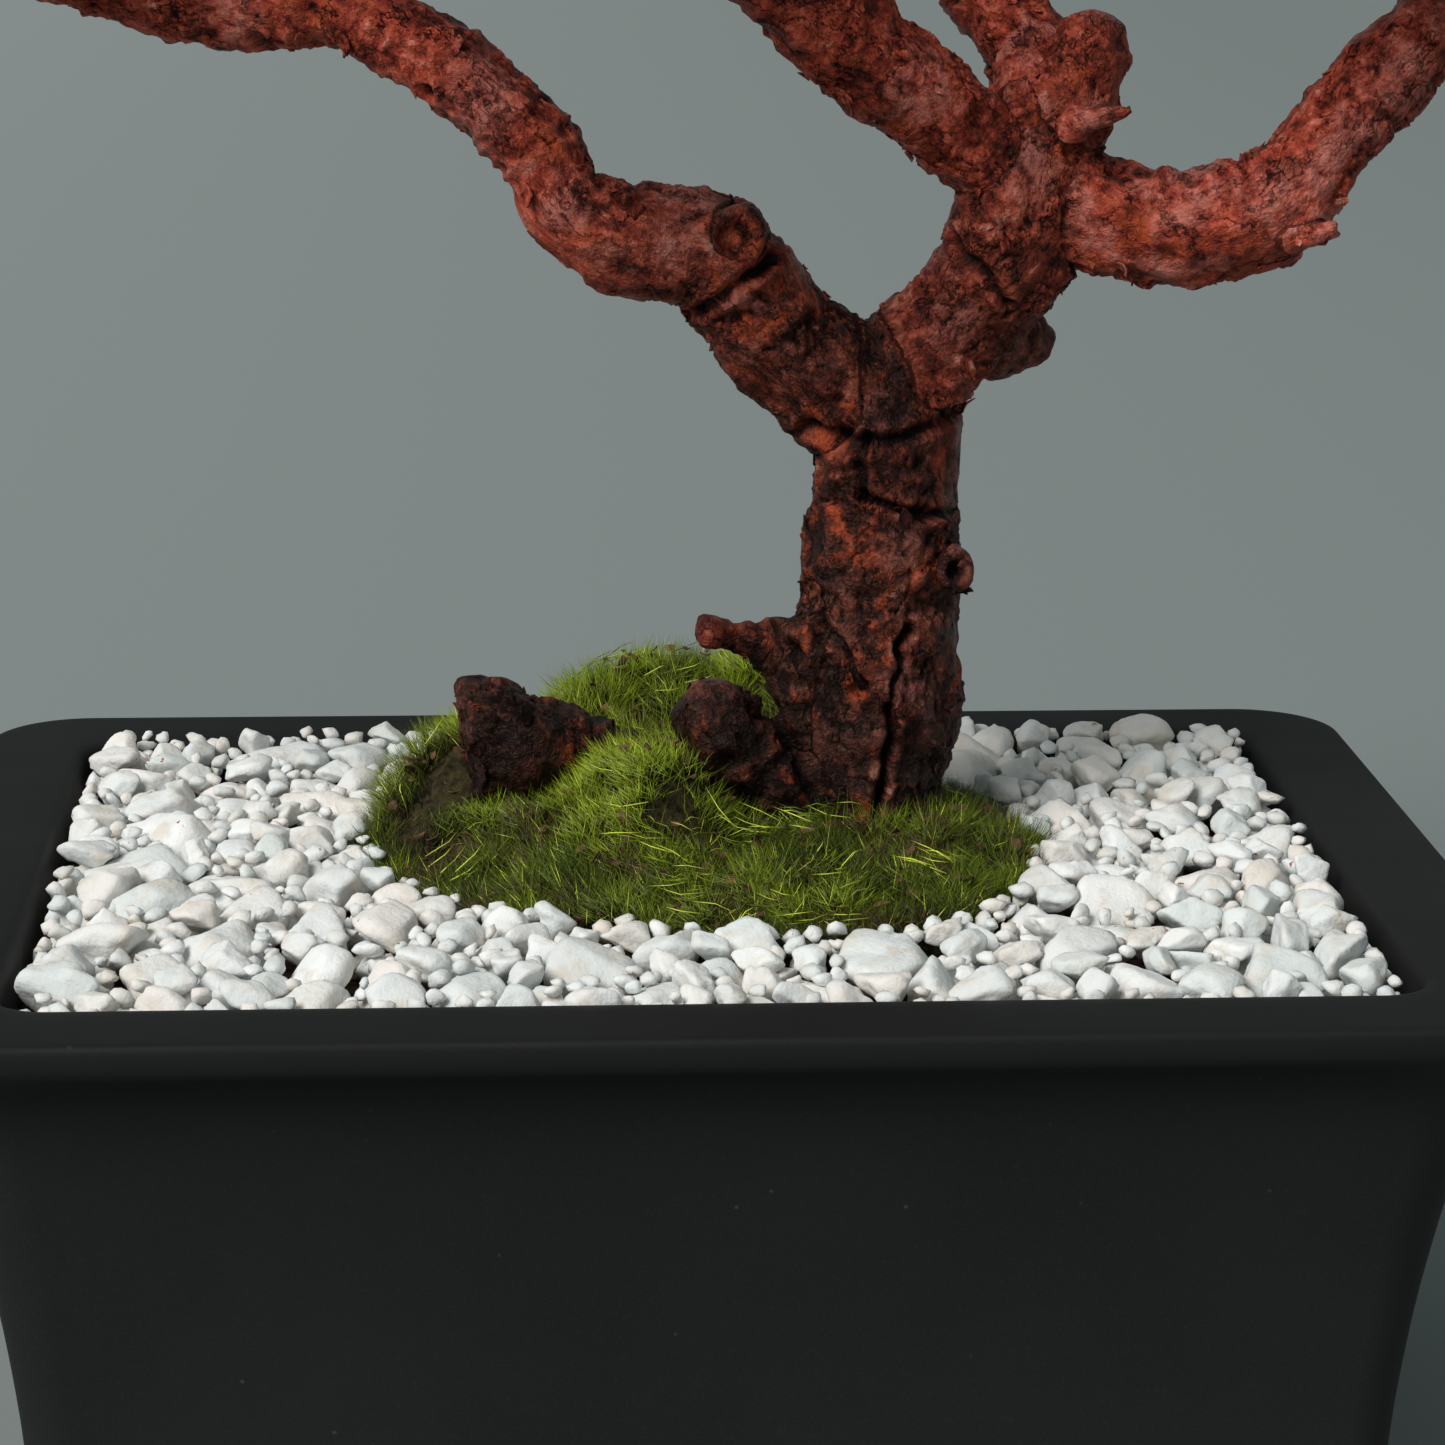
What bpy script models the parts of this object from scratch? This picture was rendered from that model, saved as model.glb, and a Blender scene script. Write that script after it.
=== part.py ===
"""Japanese black pine bonsai in a rectangular ceramic pot, in metres, +Z up.

The origin is the middle of the pot's flat base. X runs along the pot's long side and
-Y is the front. The tree leans its lower limb to -X and carries its crown in ten pads.
"""

import math
import random

import bmesh
import bpy
from mathutils import Matrix, Vector, kdtree, noise

MM = 0.001
GAP = 0.35 * MM
SEED = 20

# Pot: outer sizes over the lip, and the wall's profile as (inset from the lip's edge, height)
POT_HEIGHT = 78 * MM
LIP_HALF_X = 95 * MM
LIP_HALF_Y = 73 * MM
LIP_CORNER = 13 * MM
CORNER_SHARE = 0.45
CORNER_STEPS = 4
POT_FLOOR = 8 * MM
WALL_FOOT = (20.5 * MM, 10.5 * MM)
WALL_HEAD = (14.2 * MM, 75 * MM)
OUTSIDE_MM = (
    (17.0, 0.0),
    (15.9, 1.2),
    (15.4, 20.0),
    (13.6, 36.0),
    (11.5, 48.0),
    (8.9, 60.0),
    (6.8, 68.5),
    (4.8, 71.4),
    (1.4, 73.2),
    (0.0, 75.2),
    (0.8, 77.2),
    (2.8, 78.0),
)
MOUTH_MM = ((12.8, 78.0), (13.7, 77.0))
FLOOR_EDGE_INSET = 23 * MM
DRAIN_X = 38 * MM
DRAIN_RADIUS = 4.5 * MM
GROOVE_WIDTH = 12 * MM
GROOVE_DEPTH = 2.5 * MM
ROUND_EDGE = math.radians(35)

# Drain screens: square plates with a grid of square holes, on the floor over each drain
SCREEN_SIDE = 20 * MM
SCREEN_THICK = 1 * MM
SCREEN_CELLS = 5
SCREEN_POCKET = 1 * MM

# Tree and moss are laid out square to the photo's view, then turned and set in the pot as one
TREE_TURN = math.radians(-2.85)
TREE_LEAN = math.radians(-1.02)
TREE_PLACE = Vector((4.1, 0.8, 0)) * MM

# Soil, and the plain hole that the root stands in
SOIL_TOP = 71 * MM
ROOT_X = 19 * MM
ROOT_Y = 10 * MM
ROOT_HOLE_FOOT = 42 * MM
ROOT_HOLE_FOOT_RADIUS = 10.5 * MM
ROOT_HOLE_RADIUS = 15.2 * MM
ROUND_SIDES = 24

# Gravel: a bed that rises to the back, and chips sunk into it on a jittered grid
BED_FRONT = 75.3 * MM
BED_BACK = 77.6 * MM
CHIP_PITCH = 12.9 * MM
CHIP_JITTER = 2.2 * MM
CHIP_HALF = (6.0 * MM, 8.0 * MM)
CHIP_WIDTH_SHARE = (0.7, 0.95)
CHIP_HEIGHT_SHARE = (0.55, 0.75)
CHIP_TILT = 0.5
CHIP_CORNERS = 8
CHIP_CORNER_TURN = 0.35
CHIP_CORNER_REACH = (0.86, 1.12)
CHIP_LIFT = (0.2 * MM, 1.4 * MM)
CHIP_ROW_SHARE = 0.87

# Moss: its outline on the gravel and its mounds as (x, y, rise, spread)
MOSS_OUTLINE_MM = (
    (42, 0),
    (41, 15),
    (35, 31),
    (20, 44),
    (0, 49),
    (-22, 46),
    (-39, 34),
    (-47, 14),
    (-46, -6),
    (-34, -20),
    (-18, -29),
    (2, -34),
    (22, -31),
    (37, -20),
)
MOSS_CENTRE = (-4 * MM, 6 * MM)
MOSS_EDGE = 76.6 * MM
MOSS_MOUNDS_MM = (
    (-8, 3, 12.5, 8),
    (-12, 32, 17.5, 15),
    (6, 36, 13, 12),
    (-36, 20, 12, 10),
    (-26, 4, 7.5, 8),
    (20, 6, 7.5, 15),
    (34, 4, 6, 8),
    (8, -14, 5, 10),
    (-14, -16, 5, 10),
    (26, -16, 4.5, 8),
)
MOSS_SEGMENTS = 28
MOSS_RINGS = (0.18, 0.36, 0.52, 0.66, 0.78, 0.88, 0.95, 1.0)
MOSS_BARE_EDGE = 0.9
MOSS_CLUMP = 8 * MM
MOSS_CLUMP_RISE = 1.6 * MM
MOSS_TUFT = (2 * MM, 3.8 * MM)
MOSS_TUFT_SHARE = 0.45
MOSS_LEAST_FACE = 4 * MM**2
MOSS_TUFT_LEAN = 0.3
MOSS_TUFT_LIFT = 0.4
MOSS_SHOULDER = 1.5 * MM
MOSS_WOOD_GAP = 1.4 * GAP

# Wood: each limb as (x, y, z, radius) in mm along its middle line
LIMBS_MM = {
    "trunk": (
        (19, 10, 44, 9.5),
        (19, 10, 60, 12.5),
        (19, 10, 74, 14),
        (19.3, 10, 83, 13),
        (20.1, 10, 89, 12),
        (20.7, 10, 95.8, 11),
        (21.1, 10, 102.6, 10.1),
        (21.3, 10, 109, 9.3),
        (21.8, 10, 115.6, 9.8),
        (22.3, 10, 122, 9.2),
        (22.2, 10, 129, 9.4),
        (21, 10, 136, 9.2),
    ),
    "left_limb": (
        (21, 10, 131, 8.6),
        (15.9, 9, 136.5, 8.2),
        (9.6, 7, 141.5, 7.4),
        (3.8, 5, 149.3, 7.2),
        (-0.8, 4, 153.4, 7),
        (-10.8, 3, 155.7, 6.4),
        (-16.8, 3, 158.9, 5.7),
        (-20.2, 4, 165.2, 5.1),
        (-25.3, 5, 171.3, 5.1),
        (-33.6, 7, 177.4, 4.9),
        (-40.9, 9, 181.4, 4.5),
        (-47, 10, 182.6, 4.5),
        (-55.5, 11, 182.2, 4.3),
        (-65.4, 12, 183.2, 3.9),
        (-73.3, 12, 184.4, 3.5),
        (-80, 11, 187.5, 3.2),
        (-88, 8, 192, 3),
        (-95, 4, 196, 2.8),
    ),
    "left_riser": (
        (-49, 10, 183, 3.6),
        (-52, 12, 190, 3.2),
        (-55, 13, 197, 2.9),
        (-57, 14, 203, 2.7),
    ),
    "right_limb": (
        (21.5, 10, 131, 8.8),
        (25.8, 10, 138.4, 8),
        (32.1, 9, 144.9, 7.3),
        (37.3, 8, 152.7, 8.3),
        (39.4, 8, 159.8, 8.9),
        (41.4, 9, 166.5, 7.4),
    ),
    "rear_bulge": ((34, 12, 141, 5), (38, 17, 140.5, 4.8), (40, 19, 142, 3.6)),
    "front_limb": (
        (38, 7, 162.5, 6.4),
        (32.3, 5, 166.4, 5.9),
        (25.9, 2, 172.5, 6.4),
        (18.9, -1, 177.9, 6.3),
        (12, -4, 183.5, 6),
        (5, -8, 189.6, 5.2),
        (-4, -13, 197, 4.4),
        (-14, -19, 204, 3.8),
        (-21, -23, 211, 3.1),
    ),
    "front_riser": (
        (5, -8, 189.6, 4.6),
        (0, -4, 201, 4),
        (-5, 2, 215, 3.5),
        (-11, 8, 229, 3.1),
        (-15, 11, 239, 2.8),
    ),
    "leader": (
        (41.5, 10, 166, 6.6),
        (41.5, 16, 173.7, 6),
        (38.1, 20, 179.6, 5.7),
        (35, 23, 186.5, 5.3),
        (31, 20, 200, 4.8),
        (28, 14, 218, 4.3),
        (24, 8, 238, 3.8),
        (20, 4, 254, 3.2),
        (18.5, 2.5, 266, 2.8),
    ),
    "leader_knob": ((42.5, 8, 167, 6.5), (46.2, 8, 173, 5.8), (46.8, 8, 177.5, 5.2)),
    "back_riser": ((34.4, 23, 188, 4.2), (33.6, 29, 196, 3.6), (33.8, 36, 203, 3.1), (34, 41, 208, 2.8)),
    "upper_riser": ((29, 15, 213, 3.9), (35, 9, 223, 3.4), (43, 3, 233, 3), (49, -1.5, 241, 2.7)),
    "right_reach": (
        (42, 8, 159, 7.6),
        (48.5, 6, 156.8, 7.2),
        (56.1, 4, 155.3, 6.7),
        (63.8, 2, 156.5, 6.9),
        (69.2, 1, 159, 6.6),
        (74.6, 1, 165, 5.8),
        (80, 2, 171.1, 5.5),
        (85.5, 3, 176.7, 5.5),
        (90, 4, 180.9, 5.1),
        (96, 5, 187, 4.4),
        (102, 3, 192, 3.7),
        (108, 1, 197, 2.9),
    ),
    "right_riser": ((95, 5, 186, 4), (91, 10, 197, 3.5), (85, 16, 207, 3), (81, 19, 214, 2.7)),
    "right_front_riser": (
        (95.5, 4.5, 186.5, 4),
        (90, -5, 195, 3.5),
        (79, -15, 204, 3.1),
        (70, -22, 211, 2.8),
    ),
    "base_stub": (
        (12, 8, 101, 5.4),
        (7.6, 8, 102.4, 4.2),
        (4.3, 6, 103.8, 3),
        (1.4, 5, 104.8, 2.3),
        (-1.2, 4, 105.2, 1.9),
    ),
    "root_knee": ((14, 6, 85, 7), (7, 3, 88, 6), (1, 1, 93, 6.2), (-1.5, 1, 95, 5.6)),
    "side_root": ((4, 5, 87, 6), (-6, 8, 86, 4.6), (-15, 11, 87.4, 4.4), (-21, 10, 88.6, 5.6)),
    "broken_root": (
        (-18, 11, 88.6, 5.2),
        (-24, 9, 89.6, 6.2),
        (-29.5, 7, 90.8, 6.3),
        (-31.5, 6.5, 91.4, 5.4),
    ),
    "cut_twig": ((43, 4, 166.5, 2.6), (46, 0, 168.5, 1.9), (49, -2, 169.5, 1.8), (51.4, -3, 170.4, 1.3)),
    "thorn": ((68, -2, 156.5, 3), (72.2, -4, 155.4, 1.5), (76, -5, 156.4, 1)),
    "bark_burl": ((26, 8, 113, 4), (29.4, 6, 113.2, 3)),
    "limb_scar": ((3.5, 4, 155, 4.4), (3.4, -1.5, 156, 3.2)),
}
LIMB_STEPS = 4
LIMB_ROUND = 4
TRIM_LENGTH = 14 * MM
TRIM_RADIUS = 7 * MM
SOIL_LINE = 74 * MM
BARK_LUMP = 6.5 * MM
BARK_SHARE = 0.17
WOOD_VOXEL = 0.9 * MM
WOOD_TRIANGLES = 2250

# Crown: each pad's limb, then (x, y, z) of its middle, reach of its shoots, and their number
PADS_MM = {
    "spray_left_end": ("left_limb", (-106, -4, 206), 18, 6),
    "spray_left_inner": ("left_riser", (-59, 15, 213), 15, 5),
    "spray_front_left": ("front_limb", (-27, -29, 220), 18, 6),
    "spray_back": ("back_riser", (34, 50, 218), 17, 6),
    "spray_front_right": ("right_front_riser", (62, -29, 220), 16, 5),
    "spray_right_end": ("right_reach", (117, -3, 206), 18, 6),
    "spray_right_inner": ("right_riser", (78, 24, 224), 15, 5),
    "spray_upper_left": ("front_riser", (-19, 15, 249), 17, 6),
    "spray_upper_right": ("upper_riser", (55, -6, 250), 17, 6),
    "spray_apex": ("leader", (17.5, 1, 277), 16, 7),
}
PAD_DOME = 7 * MM
RING_STAGGER = 0.22
SHOOT_LIFT_MIDDLE = 1.15
SHOOT_LIFT_RIM = 0.55
NEEDLE_LENGTH = (19.4 * MM, 22.9 * MM)
NEEDLE_SPREAD = 0.12
BUD_RADIUS = 1.9 * MM
BUD_HALF_LENGTH = 4.2 * MM
KNUCKLE_RADIUS = 2.6 * MM
BUD_HEEL = -0.4
BUD_RAISE = 0.12
STEM_RADIUS = 1.6 * MM
STEM_STRAIGHT = 3 * MM
STEM_ROUND = 1
SHOOT_RADIUS = 1.2 * MM
SHOOT_TIP_RADIUS = 0.85 * MM
SHOOT_ROOT = 0.25 * MM
SHOOT_BARE = 6.7 * MM
SHOOT_ROUND = 0
NEEDLE_SHARE = 0.74
NEEDLE_DROOP = -0.22
NEEDLE_RISE = 0.45
GOLDEN_ANGLE = math.pi * (3 - math.sqrt(5))
NEEDLE_TRIES = 6
NEEDLE_CLEAR = 1.2 * MM
NEEDLE_ROOT = 0.35
OWN_CLEAR = 0.9 * MM
OTHER_CLEAR = 1.3 * MM
TWIG_CLEAR = 2.6 * MM
PAD_CLEAR = 0.6 * MM
BUD_CLEAR = 4 * MM


def clear_scene():
    for thing in list(bpy.data.objects):
        bpy.data.objects.remove(thing, do_unlink=True)


def new_collection(name):
    made = bpy.data.collections.new(name)
    bpy.context.scene.collection.children.link(made)
    return made


def material(name, colour, roughness):
    made = bpy.data.materials.new(name)
    made.use_nodes = True
    shader = made.node_tree.nodes["Principled BSDF"]
    shader.inputs["Base Color"].default_value = (*colour, 1.0)
    shader.inputs["Roughness"].default_value = roughness
    shader.inputs["Metallic"].default_value = 0.0
    return made


def add_object(name, mesh, collection, finish=None):
    """Link a bmesh or mesh as an object; a bmesh is used up."""
    if isinstance(mesh, bmesh.types.BMesh):
        held = bpy.data.meshes.new(name)
        mesh.to_mesh(held)
        mesh.free()
    else:
        held = mesh
    made = bpy.data.objects.new(name, held)
    collection.objects.link(made)
    if finish:
        held.materials.clear()
        held.materials.append(finish)
    return made


def as_cutter(thing):
    thing.hide_render = True
    thing.display_type = "WIRE"
    return thing


def apply_modifiers(thing):
    """Replace an object's mesh by its evaluated one."""
    bpy.context.view_layer.update()
    graph = bpy.context.evaluated_depsgraph_get()
    mesh = bpy.data.meshes.new_from_object(thing.evaluated_get(graph))
    thing.modifiers.clear()
    thing.data = mesh


def boolean(thing, operation, other):
    """Join or cut with an object or with a whole collection, applied at once."""
    change = thing.modifiers.new(operation.title(), "BOOLEAN")
    change.operation = operation
    change.solver = "EXACT"
    if isinstance(other, bpy.types.Collection):
        change.operand_type = "COLLECTION"
        change.collection = other
    else:
        change.object = other
    apply_modifiers(thing)


def join_all(name, pieces, helper, collection, finish):
    """One solid from overlapping pieces, by one union on their collection."""
    first, rest = pieces[0], pieces[1:]
    group = bpy.data.collections.new(name + "_pieces")
    bpy.context.scene.collection.children.link(group)
    for piece in rest:
        helper.objects.unlink(piece)
        group.objects.link(piece)
    boolean(first, "UNION", group)
    for piece in rest:
        bpy.data.objects.remove(piece, do_unlink=True)
    bpy.data.collections.remove(group)
    helper.objects.unlink(first)
    collection.objects.link(first)
    first.name = name
    first.hide_render = False
    keep_largest(first)
    first.data.materials.clear()
    first.data.materials.append(finish)
    return first


def keep_largest(thing):
    """Drop the loose scraps that a cut or a union leaves, found across shared edges."""
    mesh = bmesh.new()
    mesh.from_mesh(thing.data)
    left = set(mesh.faces)
    islands = []
    while left:
        island = [left.pop()]
        for face in island:
            for edge in face.edges:
                for other in edge.link_faces:
                    if other in left:
                        left.remove(other)
                        island.append(other)
        islands.append(island)
    islands.sort(key=len)
    scraps = [face for island in islands[:-1] for face in island]
    bmesh.ops.delete(mesh, geom=scraps, context="FACES")
    mesh.to_mesh(thing.data)
    mesh.free()


def rounded_rectangle(half_x, half_y, radius, height):
    """Points round a rounded rectangle, anticlockwise from above; height may depend on y."""
    points = []
    for corner, (side_x, side_y) in enumerate(((1, 1), (-1, 1), (-1, -1), (1, -1))):
        for step in range(CORNER_STEPS + 1):
            angle = math.radians(90 * (corner + step / CORNER_STEPS))
            x = side_x * (half_x - radius) + radius * math.cos(angle)
            y = side_y * (half_y - radius) + radius * math.sin(angle)
            points.append(Vector((x, y, height(y) if callable(height) else height)))
    return points


def pot_ring(inset, height):
    """The pot's outline, drawn in by an inset from the lip's outer edge."""
    radius = LIP_CORNER - CORNER_SHARE * inset
    return rounded_rectangle(LIP_HALF_X - inset, LIP_HALF_Y - inset, radius, height)


def wall_inset(height):
    """How far in from the lip's edge the straight inner wall is at a height."""
    share = (height - WALL_FOOT[1]) / (WALL_HEAD[1] - WALL_FOOT[1])
    return WALL_FOOT[0] + min(share, 1.0) * (WALL_HEAD[0] - WALL_FOOT[0])


def loft(rings):
    """A closed solid through rings of as many points each, capped at both ends."""
    mesh = bmesh.new()
    rows = [[mesh.verts.new(point) for point in ring] for ring in rings]
    count = len(rows[0])
    for low, high in zip(rows, rows[1:]):
        for i in range(count):
            j = (i + 1) % count
            mesh.faces.new((low[i], low[j], high[j], high[i]))
    mesh.faces.new(list(reversed(rows[0])))
    mesh.faces.new(rows[-1])
    return mesh


def box(size, centre):
    mesh = bmesh.new()
    bmesh.ops.create_cube(mesh, size=1.0)
    for vert in mesh.verts:
        vert.co = Vector(centre) + Vector(a * b for a, b in zip(vert.co, size))
    return mesh


def cone(foot, head, foot_radius, head_radius, sides):
    """A closed cone or cylinder between two points."""
    foot = Vector(foot)
    head = Vector(head)
    mesh = bmesh.new()
    turn = (head - foot).to_track_quat("Z", "Y").to_matrix().to_4x4()
    bmesh.ops.create_cone(
        mesh,
        cap_ends=True,
        segments=sides,
        radius1=foot_radius,
        radius2=head_radius,
        depth=(head - foot).length,
        matrix=Matrix.Translation((foot + head) / 2) @ turn,
    )
    return mesh


def planted():
    """The turn, lean and shift that set the tree in the pot."""
    turn = Matrix.Rotation(TREE_TURN, 4, "Z") @ Matrix.Rotation(TREE_LEAN, 4, "Y")
    return Matrix.Translation(TREE_PLACE) @ turn


def on_ground():
    """The same turn and shift for the moss, which stays level."""
    return Matrix.Translation(TREE_PLACE) @ Matrix.Rotation(TREE_TURN, 4, "Z")


def make_pot(collection, cutters):
    """The ceramic pot: its wall from the base up over the lip and down to the floor."""
    rings = [pot_ring(inset * MM, height * MM) for inset, height in OUTSIDE_MM + MOUTH_MM]
    rings.append(pot_ring(*WALL_HEAD))
    rings.append(pot_ring(*WALL_FOOT))
    rings.append(pot_ring(FLOOR_EDGE_INSET, POT_FLOOR))
    finish = material("black_ceramic", (0.012, 0.012, 0.013), 0.5)
    pot = add_object("pot", loft(rings), collection, finish)
    for side in (-1, 1):
        x = side * DRAIN_X
        groove = box((GROOVE_WIDTH, 4 * LIP_HALF_Y, 2 * GROOVE_DEPTH), (x, 0, 0))
        cutter = as_cutter(add_object("groove_cutter", groove, cutters))
        boolean(pot, "DIFFERENCE", cutter)
        drain = cone((x, 0, -POT_FLOOR), (x, 0, 2 * POT_FLOOR), DRAIN_RADIUS, DRAIN_RADIUS, ROUND_SIDES)
        cutter = as_cutter(add_object("drain_cutter", drain, cutters))
        boolean(pot, "DIFFERENCE", cutter)
    pot.data.shade_smooth()
    pot.data.set_sharp_from_angle(angle=ROUND_EDGE)
    return pot


def make_screen(side, name, collection, finish):
    """A square drain screen, lying on the floor over one drain."""
    mesh = bmesh.new()
    bmesh.ops.create_grid(mesh, x_segments=SCREEN_CELLS, y_segments=SCREEN_CELLS, size=SCREEN_SIDE / 2)
    pitch = SCREEN_SIDE / SCREEN_CELLS
    holes = []
    for face in mesh.faces:
        middle = face.calc_center_median()
        column = round((middle.x + SCREEN_SIDE / 2) / pitch - 0.5)
        row = round((middle.y + SCREEN_SIDE / 2) / pitch - 0.5)
        if column % 2 and row % 2:
            holes.append(face)
    bmesh.ops.delete(mesh, geom=holes, context="FACES")
    screen = add_object(name, mesh, collection, finish)
    screen.location = (side * DRAIN_X, 0, POT_FLOOR + GAP)
    thicken = screen.modifiers.new("Thickness", "SOLIDIFY")
    thicken.thickness = SCREEN_THICK
    thicken.offset = 1
    return screen


def make_soil(collection, cutters):
    """The soil, filling the pot's inside, with the root's hole and a pocket for each screen."""
    low = WALL_FOOT[1]
    rings = [
        pot_ring(FLOOR_EDGE_INSET + GAP, POT_FLOOR + GAP),
        pot_ring(wall_inset(low) + GAP, low + GAP),
        pot_ring(wall_inset(SOIL_TOP) + GAP, SOIL_TOP),
    ]
    soil = add_object("soil", loft(rings), collection, material("soil", (0.055, 0.034, 0.022), 0.95))
    foot = planted() @ Vector((ROOT_X, ROOT_Y, ROOT_HOLE_FOOT))
    head = planted() @ Vector((ROOT_X, ROOT_Y, SOIL_TOP + 4 * GAP))
    hole = cone(foot, head, ROOT_HOLE_FOOT_RADIUS, ROOT_HOLE_RADIUS, ROUND_SIDES)
    boolean(soil, "DIFFERENCE", as_cutter(add_object("root_hole_cutter", hole, cutters)))
    pocket_side = SCREEN_SIDE + 2 * SCREEN_POCKET
    pocket_top = POT_FLOOR + SCREEN_THICK + 2 * GAP
    for side in (-1, 1):
        size = (pocket_side, pocket_side, 2 * (pocket_top - POT_FLOOR))
        pocket = add_object("pocket_cutter", box(size, (side * DRAIN_X, 0, POT_FLOOR)), cutters)
        boolean(soil, "DIFFERENCE", as_cutter(pocket))
    return soil


def bed_height(y):
    """The gravel bed's level: it rises evenly from the front to the back."""
    share = (y + LIP_HALF_Y) / (2 * LIP_HALF_Y)
    return BED_FRONT + share * (BED_BACK - BED_FRONT)


def hold_in_pot(point, inset):
    """The nearest place inside the pot's mouth, drawn in by an inset."""
    radius = LIP_CORNER - CORNER_SHARE * inset
    core = Vector((LIP_HALF_X - inset - radius, LIP_HALF_Y - inset - radius))
    x, y = abs(point.x), abs(point.y)
    over = Vector((max(x - core.x, 0.0), max(y - core.y, 0.0)))
    if over.length > radius:
        over = over * radius / over.length
    x = min(x, core.x) + over.x
    y = min(y, core.y) + over.y
    return Vector((math.copysign(x, point.x), math.copysign(y, point.y), point.z))


def between(p0, p1, p2, p3, t):
    """A point from p1 to p2 on the smooth line through four points."""
    bend = 2 * p1 + (p2 - p0) * t
    bend += (2 * p0 - 5 * p1 + 4 * p2 - p3) * t**2 + (3 * p1 - p0 - 3 * p2 + p3) * t**3
    return bend / 2


def moss_outline(grow=0.0):
    """The moss's smooth outline, each point moved out from its middle by grow."""
    points = [Vector(point) * MM for point in MOSS_OUTLINE_MM]
    middle = Vector(MOSS_CENTRE)
    line = []
    for step in range(MOSS_SEGMENTS):
        i, t = divmod(step * len(points) / MOSS_SEGMENTS, 1)
        point = between(*(points[(int(i) + k) % len(points)] for k in (-1, 0, 1, 2)), t)
        line.append(point + (point - middle).normalized() * grow)
    return line


def chip(draw, middle):
    """One angular stone chip: the hull of jittered points on a squashed ball."""
    mesh = bmesh.new()
    half = draw.uniform(*CHIP_HALF)
    size = Vector((1, draw.uniform(*CHIP_WIDTH_SHARE), draw.uniform(*CHIP_HEIGHT_SHARE))) * half
    turn = Matrix.Rotation(draw.uniform(0, math.tau), 3, "Z")
    turn = turn @ Matrix.Rotation(draw.uniform(-CHIP_TILT, CHIP_TILT), 3, "X")
    for k in range(CHIP_CORNERS):
        level = 1 - 2 * (k + 0.5) / CHIP_CORNERS
        angle = k * GOLDEN_ANGLE + draw.uniform(-CHIP_CORNER_TURN, CHIP_CORNER_TURN)
        ring = math.sqrt(1 - level * level)
        corner = Vector((ring * math.cos(angle), ring * math.sin(angle), level))
        corner *= draw.uniform(*CHIP_CORNER_REACH)
        corner = turn @ Vector(a * b for a, b in zip(corner, size))
        corner = hold_in_pot(middle + corner, WALL_HEAD[0] + 2 * GAP)
        corner.z = max(corner.z, SOIL_TOP + 3 * GAP)
        mesh.verts.new(corner)
    hull = bmesh.ops.convex_hull(mesh, input=mesh.verts)
    spare = [vert for vert in hull["geom_interior"] if isinstance(vert, bmesh.types.BMVert)]
    bmesh.ops.delete(mesh, geom=spare, context="VERTS")
    return mesh


def make_gravel(collection, cutters):
    """White chips sunk into a bed on the soil, with an opening for the moss."""
    draw = random.Random(SEED)
    foot = SOIL_TOP + GAP
    side = wall_inset(foot) + GAP
    bed = loft([pot_ring(side, foot), pot_ring(WALL_HEAD[0] + GAP, bed_height)])
    pieces = [add_object("bed", bed, cutters)]
    outline = [(on_ground() @ point.to_3d()).to_2d() for point in moss_outline(GAP)]
    middle = (on_ground() @ Vector((*MOSS_CENTRE, 0))).to_2d()
    inset = WALL_HEAD[0] + CHIP_HALF[0] * CHIP_WIDTH_SHARE[0]
    reach_x = LIP_HALF_X - inset
    reach_y = LIP_HALF_Y - inset
    rows = round(2 * reach_y / (CHIP_PITCH * CHIP_ROW_SHARE))
    columns = round(2 * reach_x / CHIP_PITCH)
    for row in range(rows + 1):
        for column in range(columns + row % 2):
            x = reach_x * (2 * column + 1 - row % 2 - columns) / columns
            y = reach_y * (2 * row - rows) / rows
            place = Vector((x, y, 0)) + Vector((draw.uniform(-1, 1), draw.uniform(-1, 1), 0)) * CHIP_JITTER
            place.z = bed_height(place.y) + draw.uniform(*CHIP_LIFT)
            place = hold_in_pot(place, inset)
            nearest = min(outline, key=lambda point: (point - place.to_2d()).length)
            if (place.to_2d() - middle).length < (nearest - middle).length - CHIP_HALF[0] / 2:
                continue
            pieces.append(add_object("chip", chip(draw, place), cutters))
    finish = material("white_gravel", (0.72, 0.73, 0.72), 0.85)
    gravel = join_all("gravel_bed", pieces, cutters, collection, finish)
    levels = (SOIL_TOP - 4 * GAP, POT_HEIGHT + 4 * CHIP_HALF[1])
    opening = loft([[Vector((*point, level)) for point in outline] for level in levels])
    boolean(gravel, "DIFFERENCE", as_cutter(add_object("moss_opening_cutter", opening, cutters)))
    keep_largest(gravel)
    return gravel


def moss_height(x, y, share):
    """The moss's surface at a share of the way from its middle to its edge."""
    rise = 0.0
    for mound_x, mound_y, height, spread in MOSS_MOUNDS_MM:
        away = (Vector((x, y)) - Vector((mound_x, mound_y)) * MM).length / (spread * MM)
        rise += (height * MM * math.exp(-away * away / 2)) ** 3
    clump = MOSS_CLUMP_RISE * noise.noise(Vector((x, y, 0)) / MOSS_CLUMP)
    shoulder = 1 - share**6
    return MOSS_EDGE + shoulder * (rise ** (1 / 3) + clump + MOSS_SHOULDER)


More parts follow.
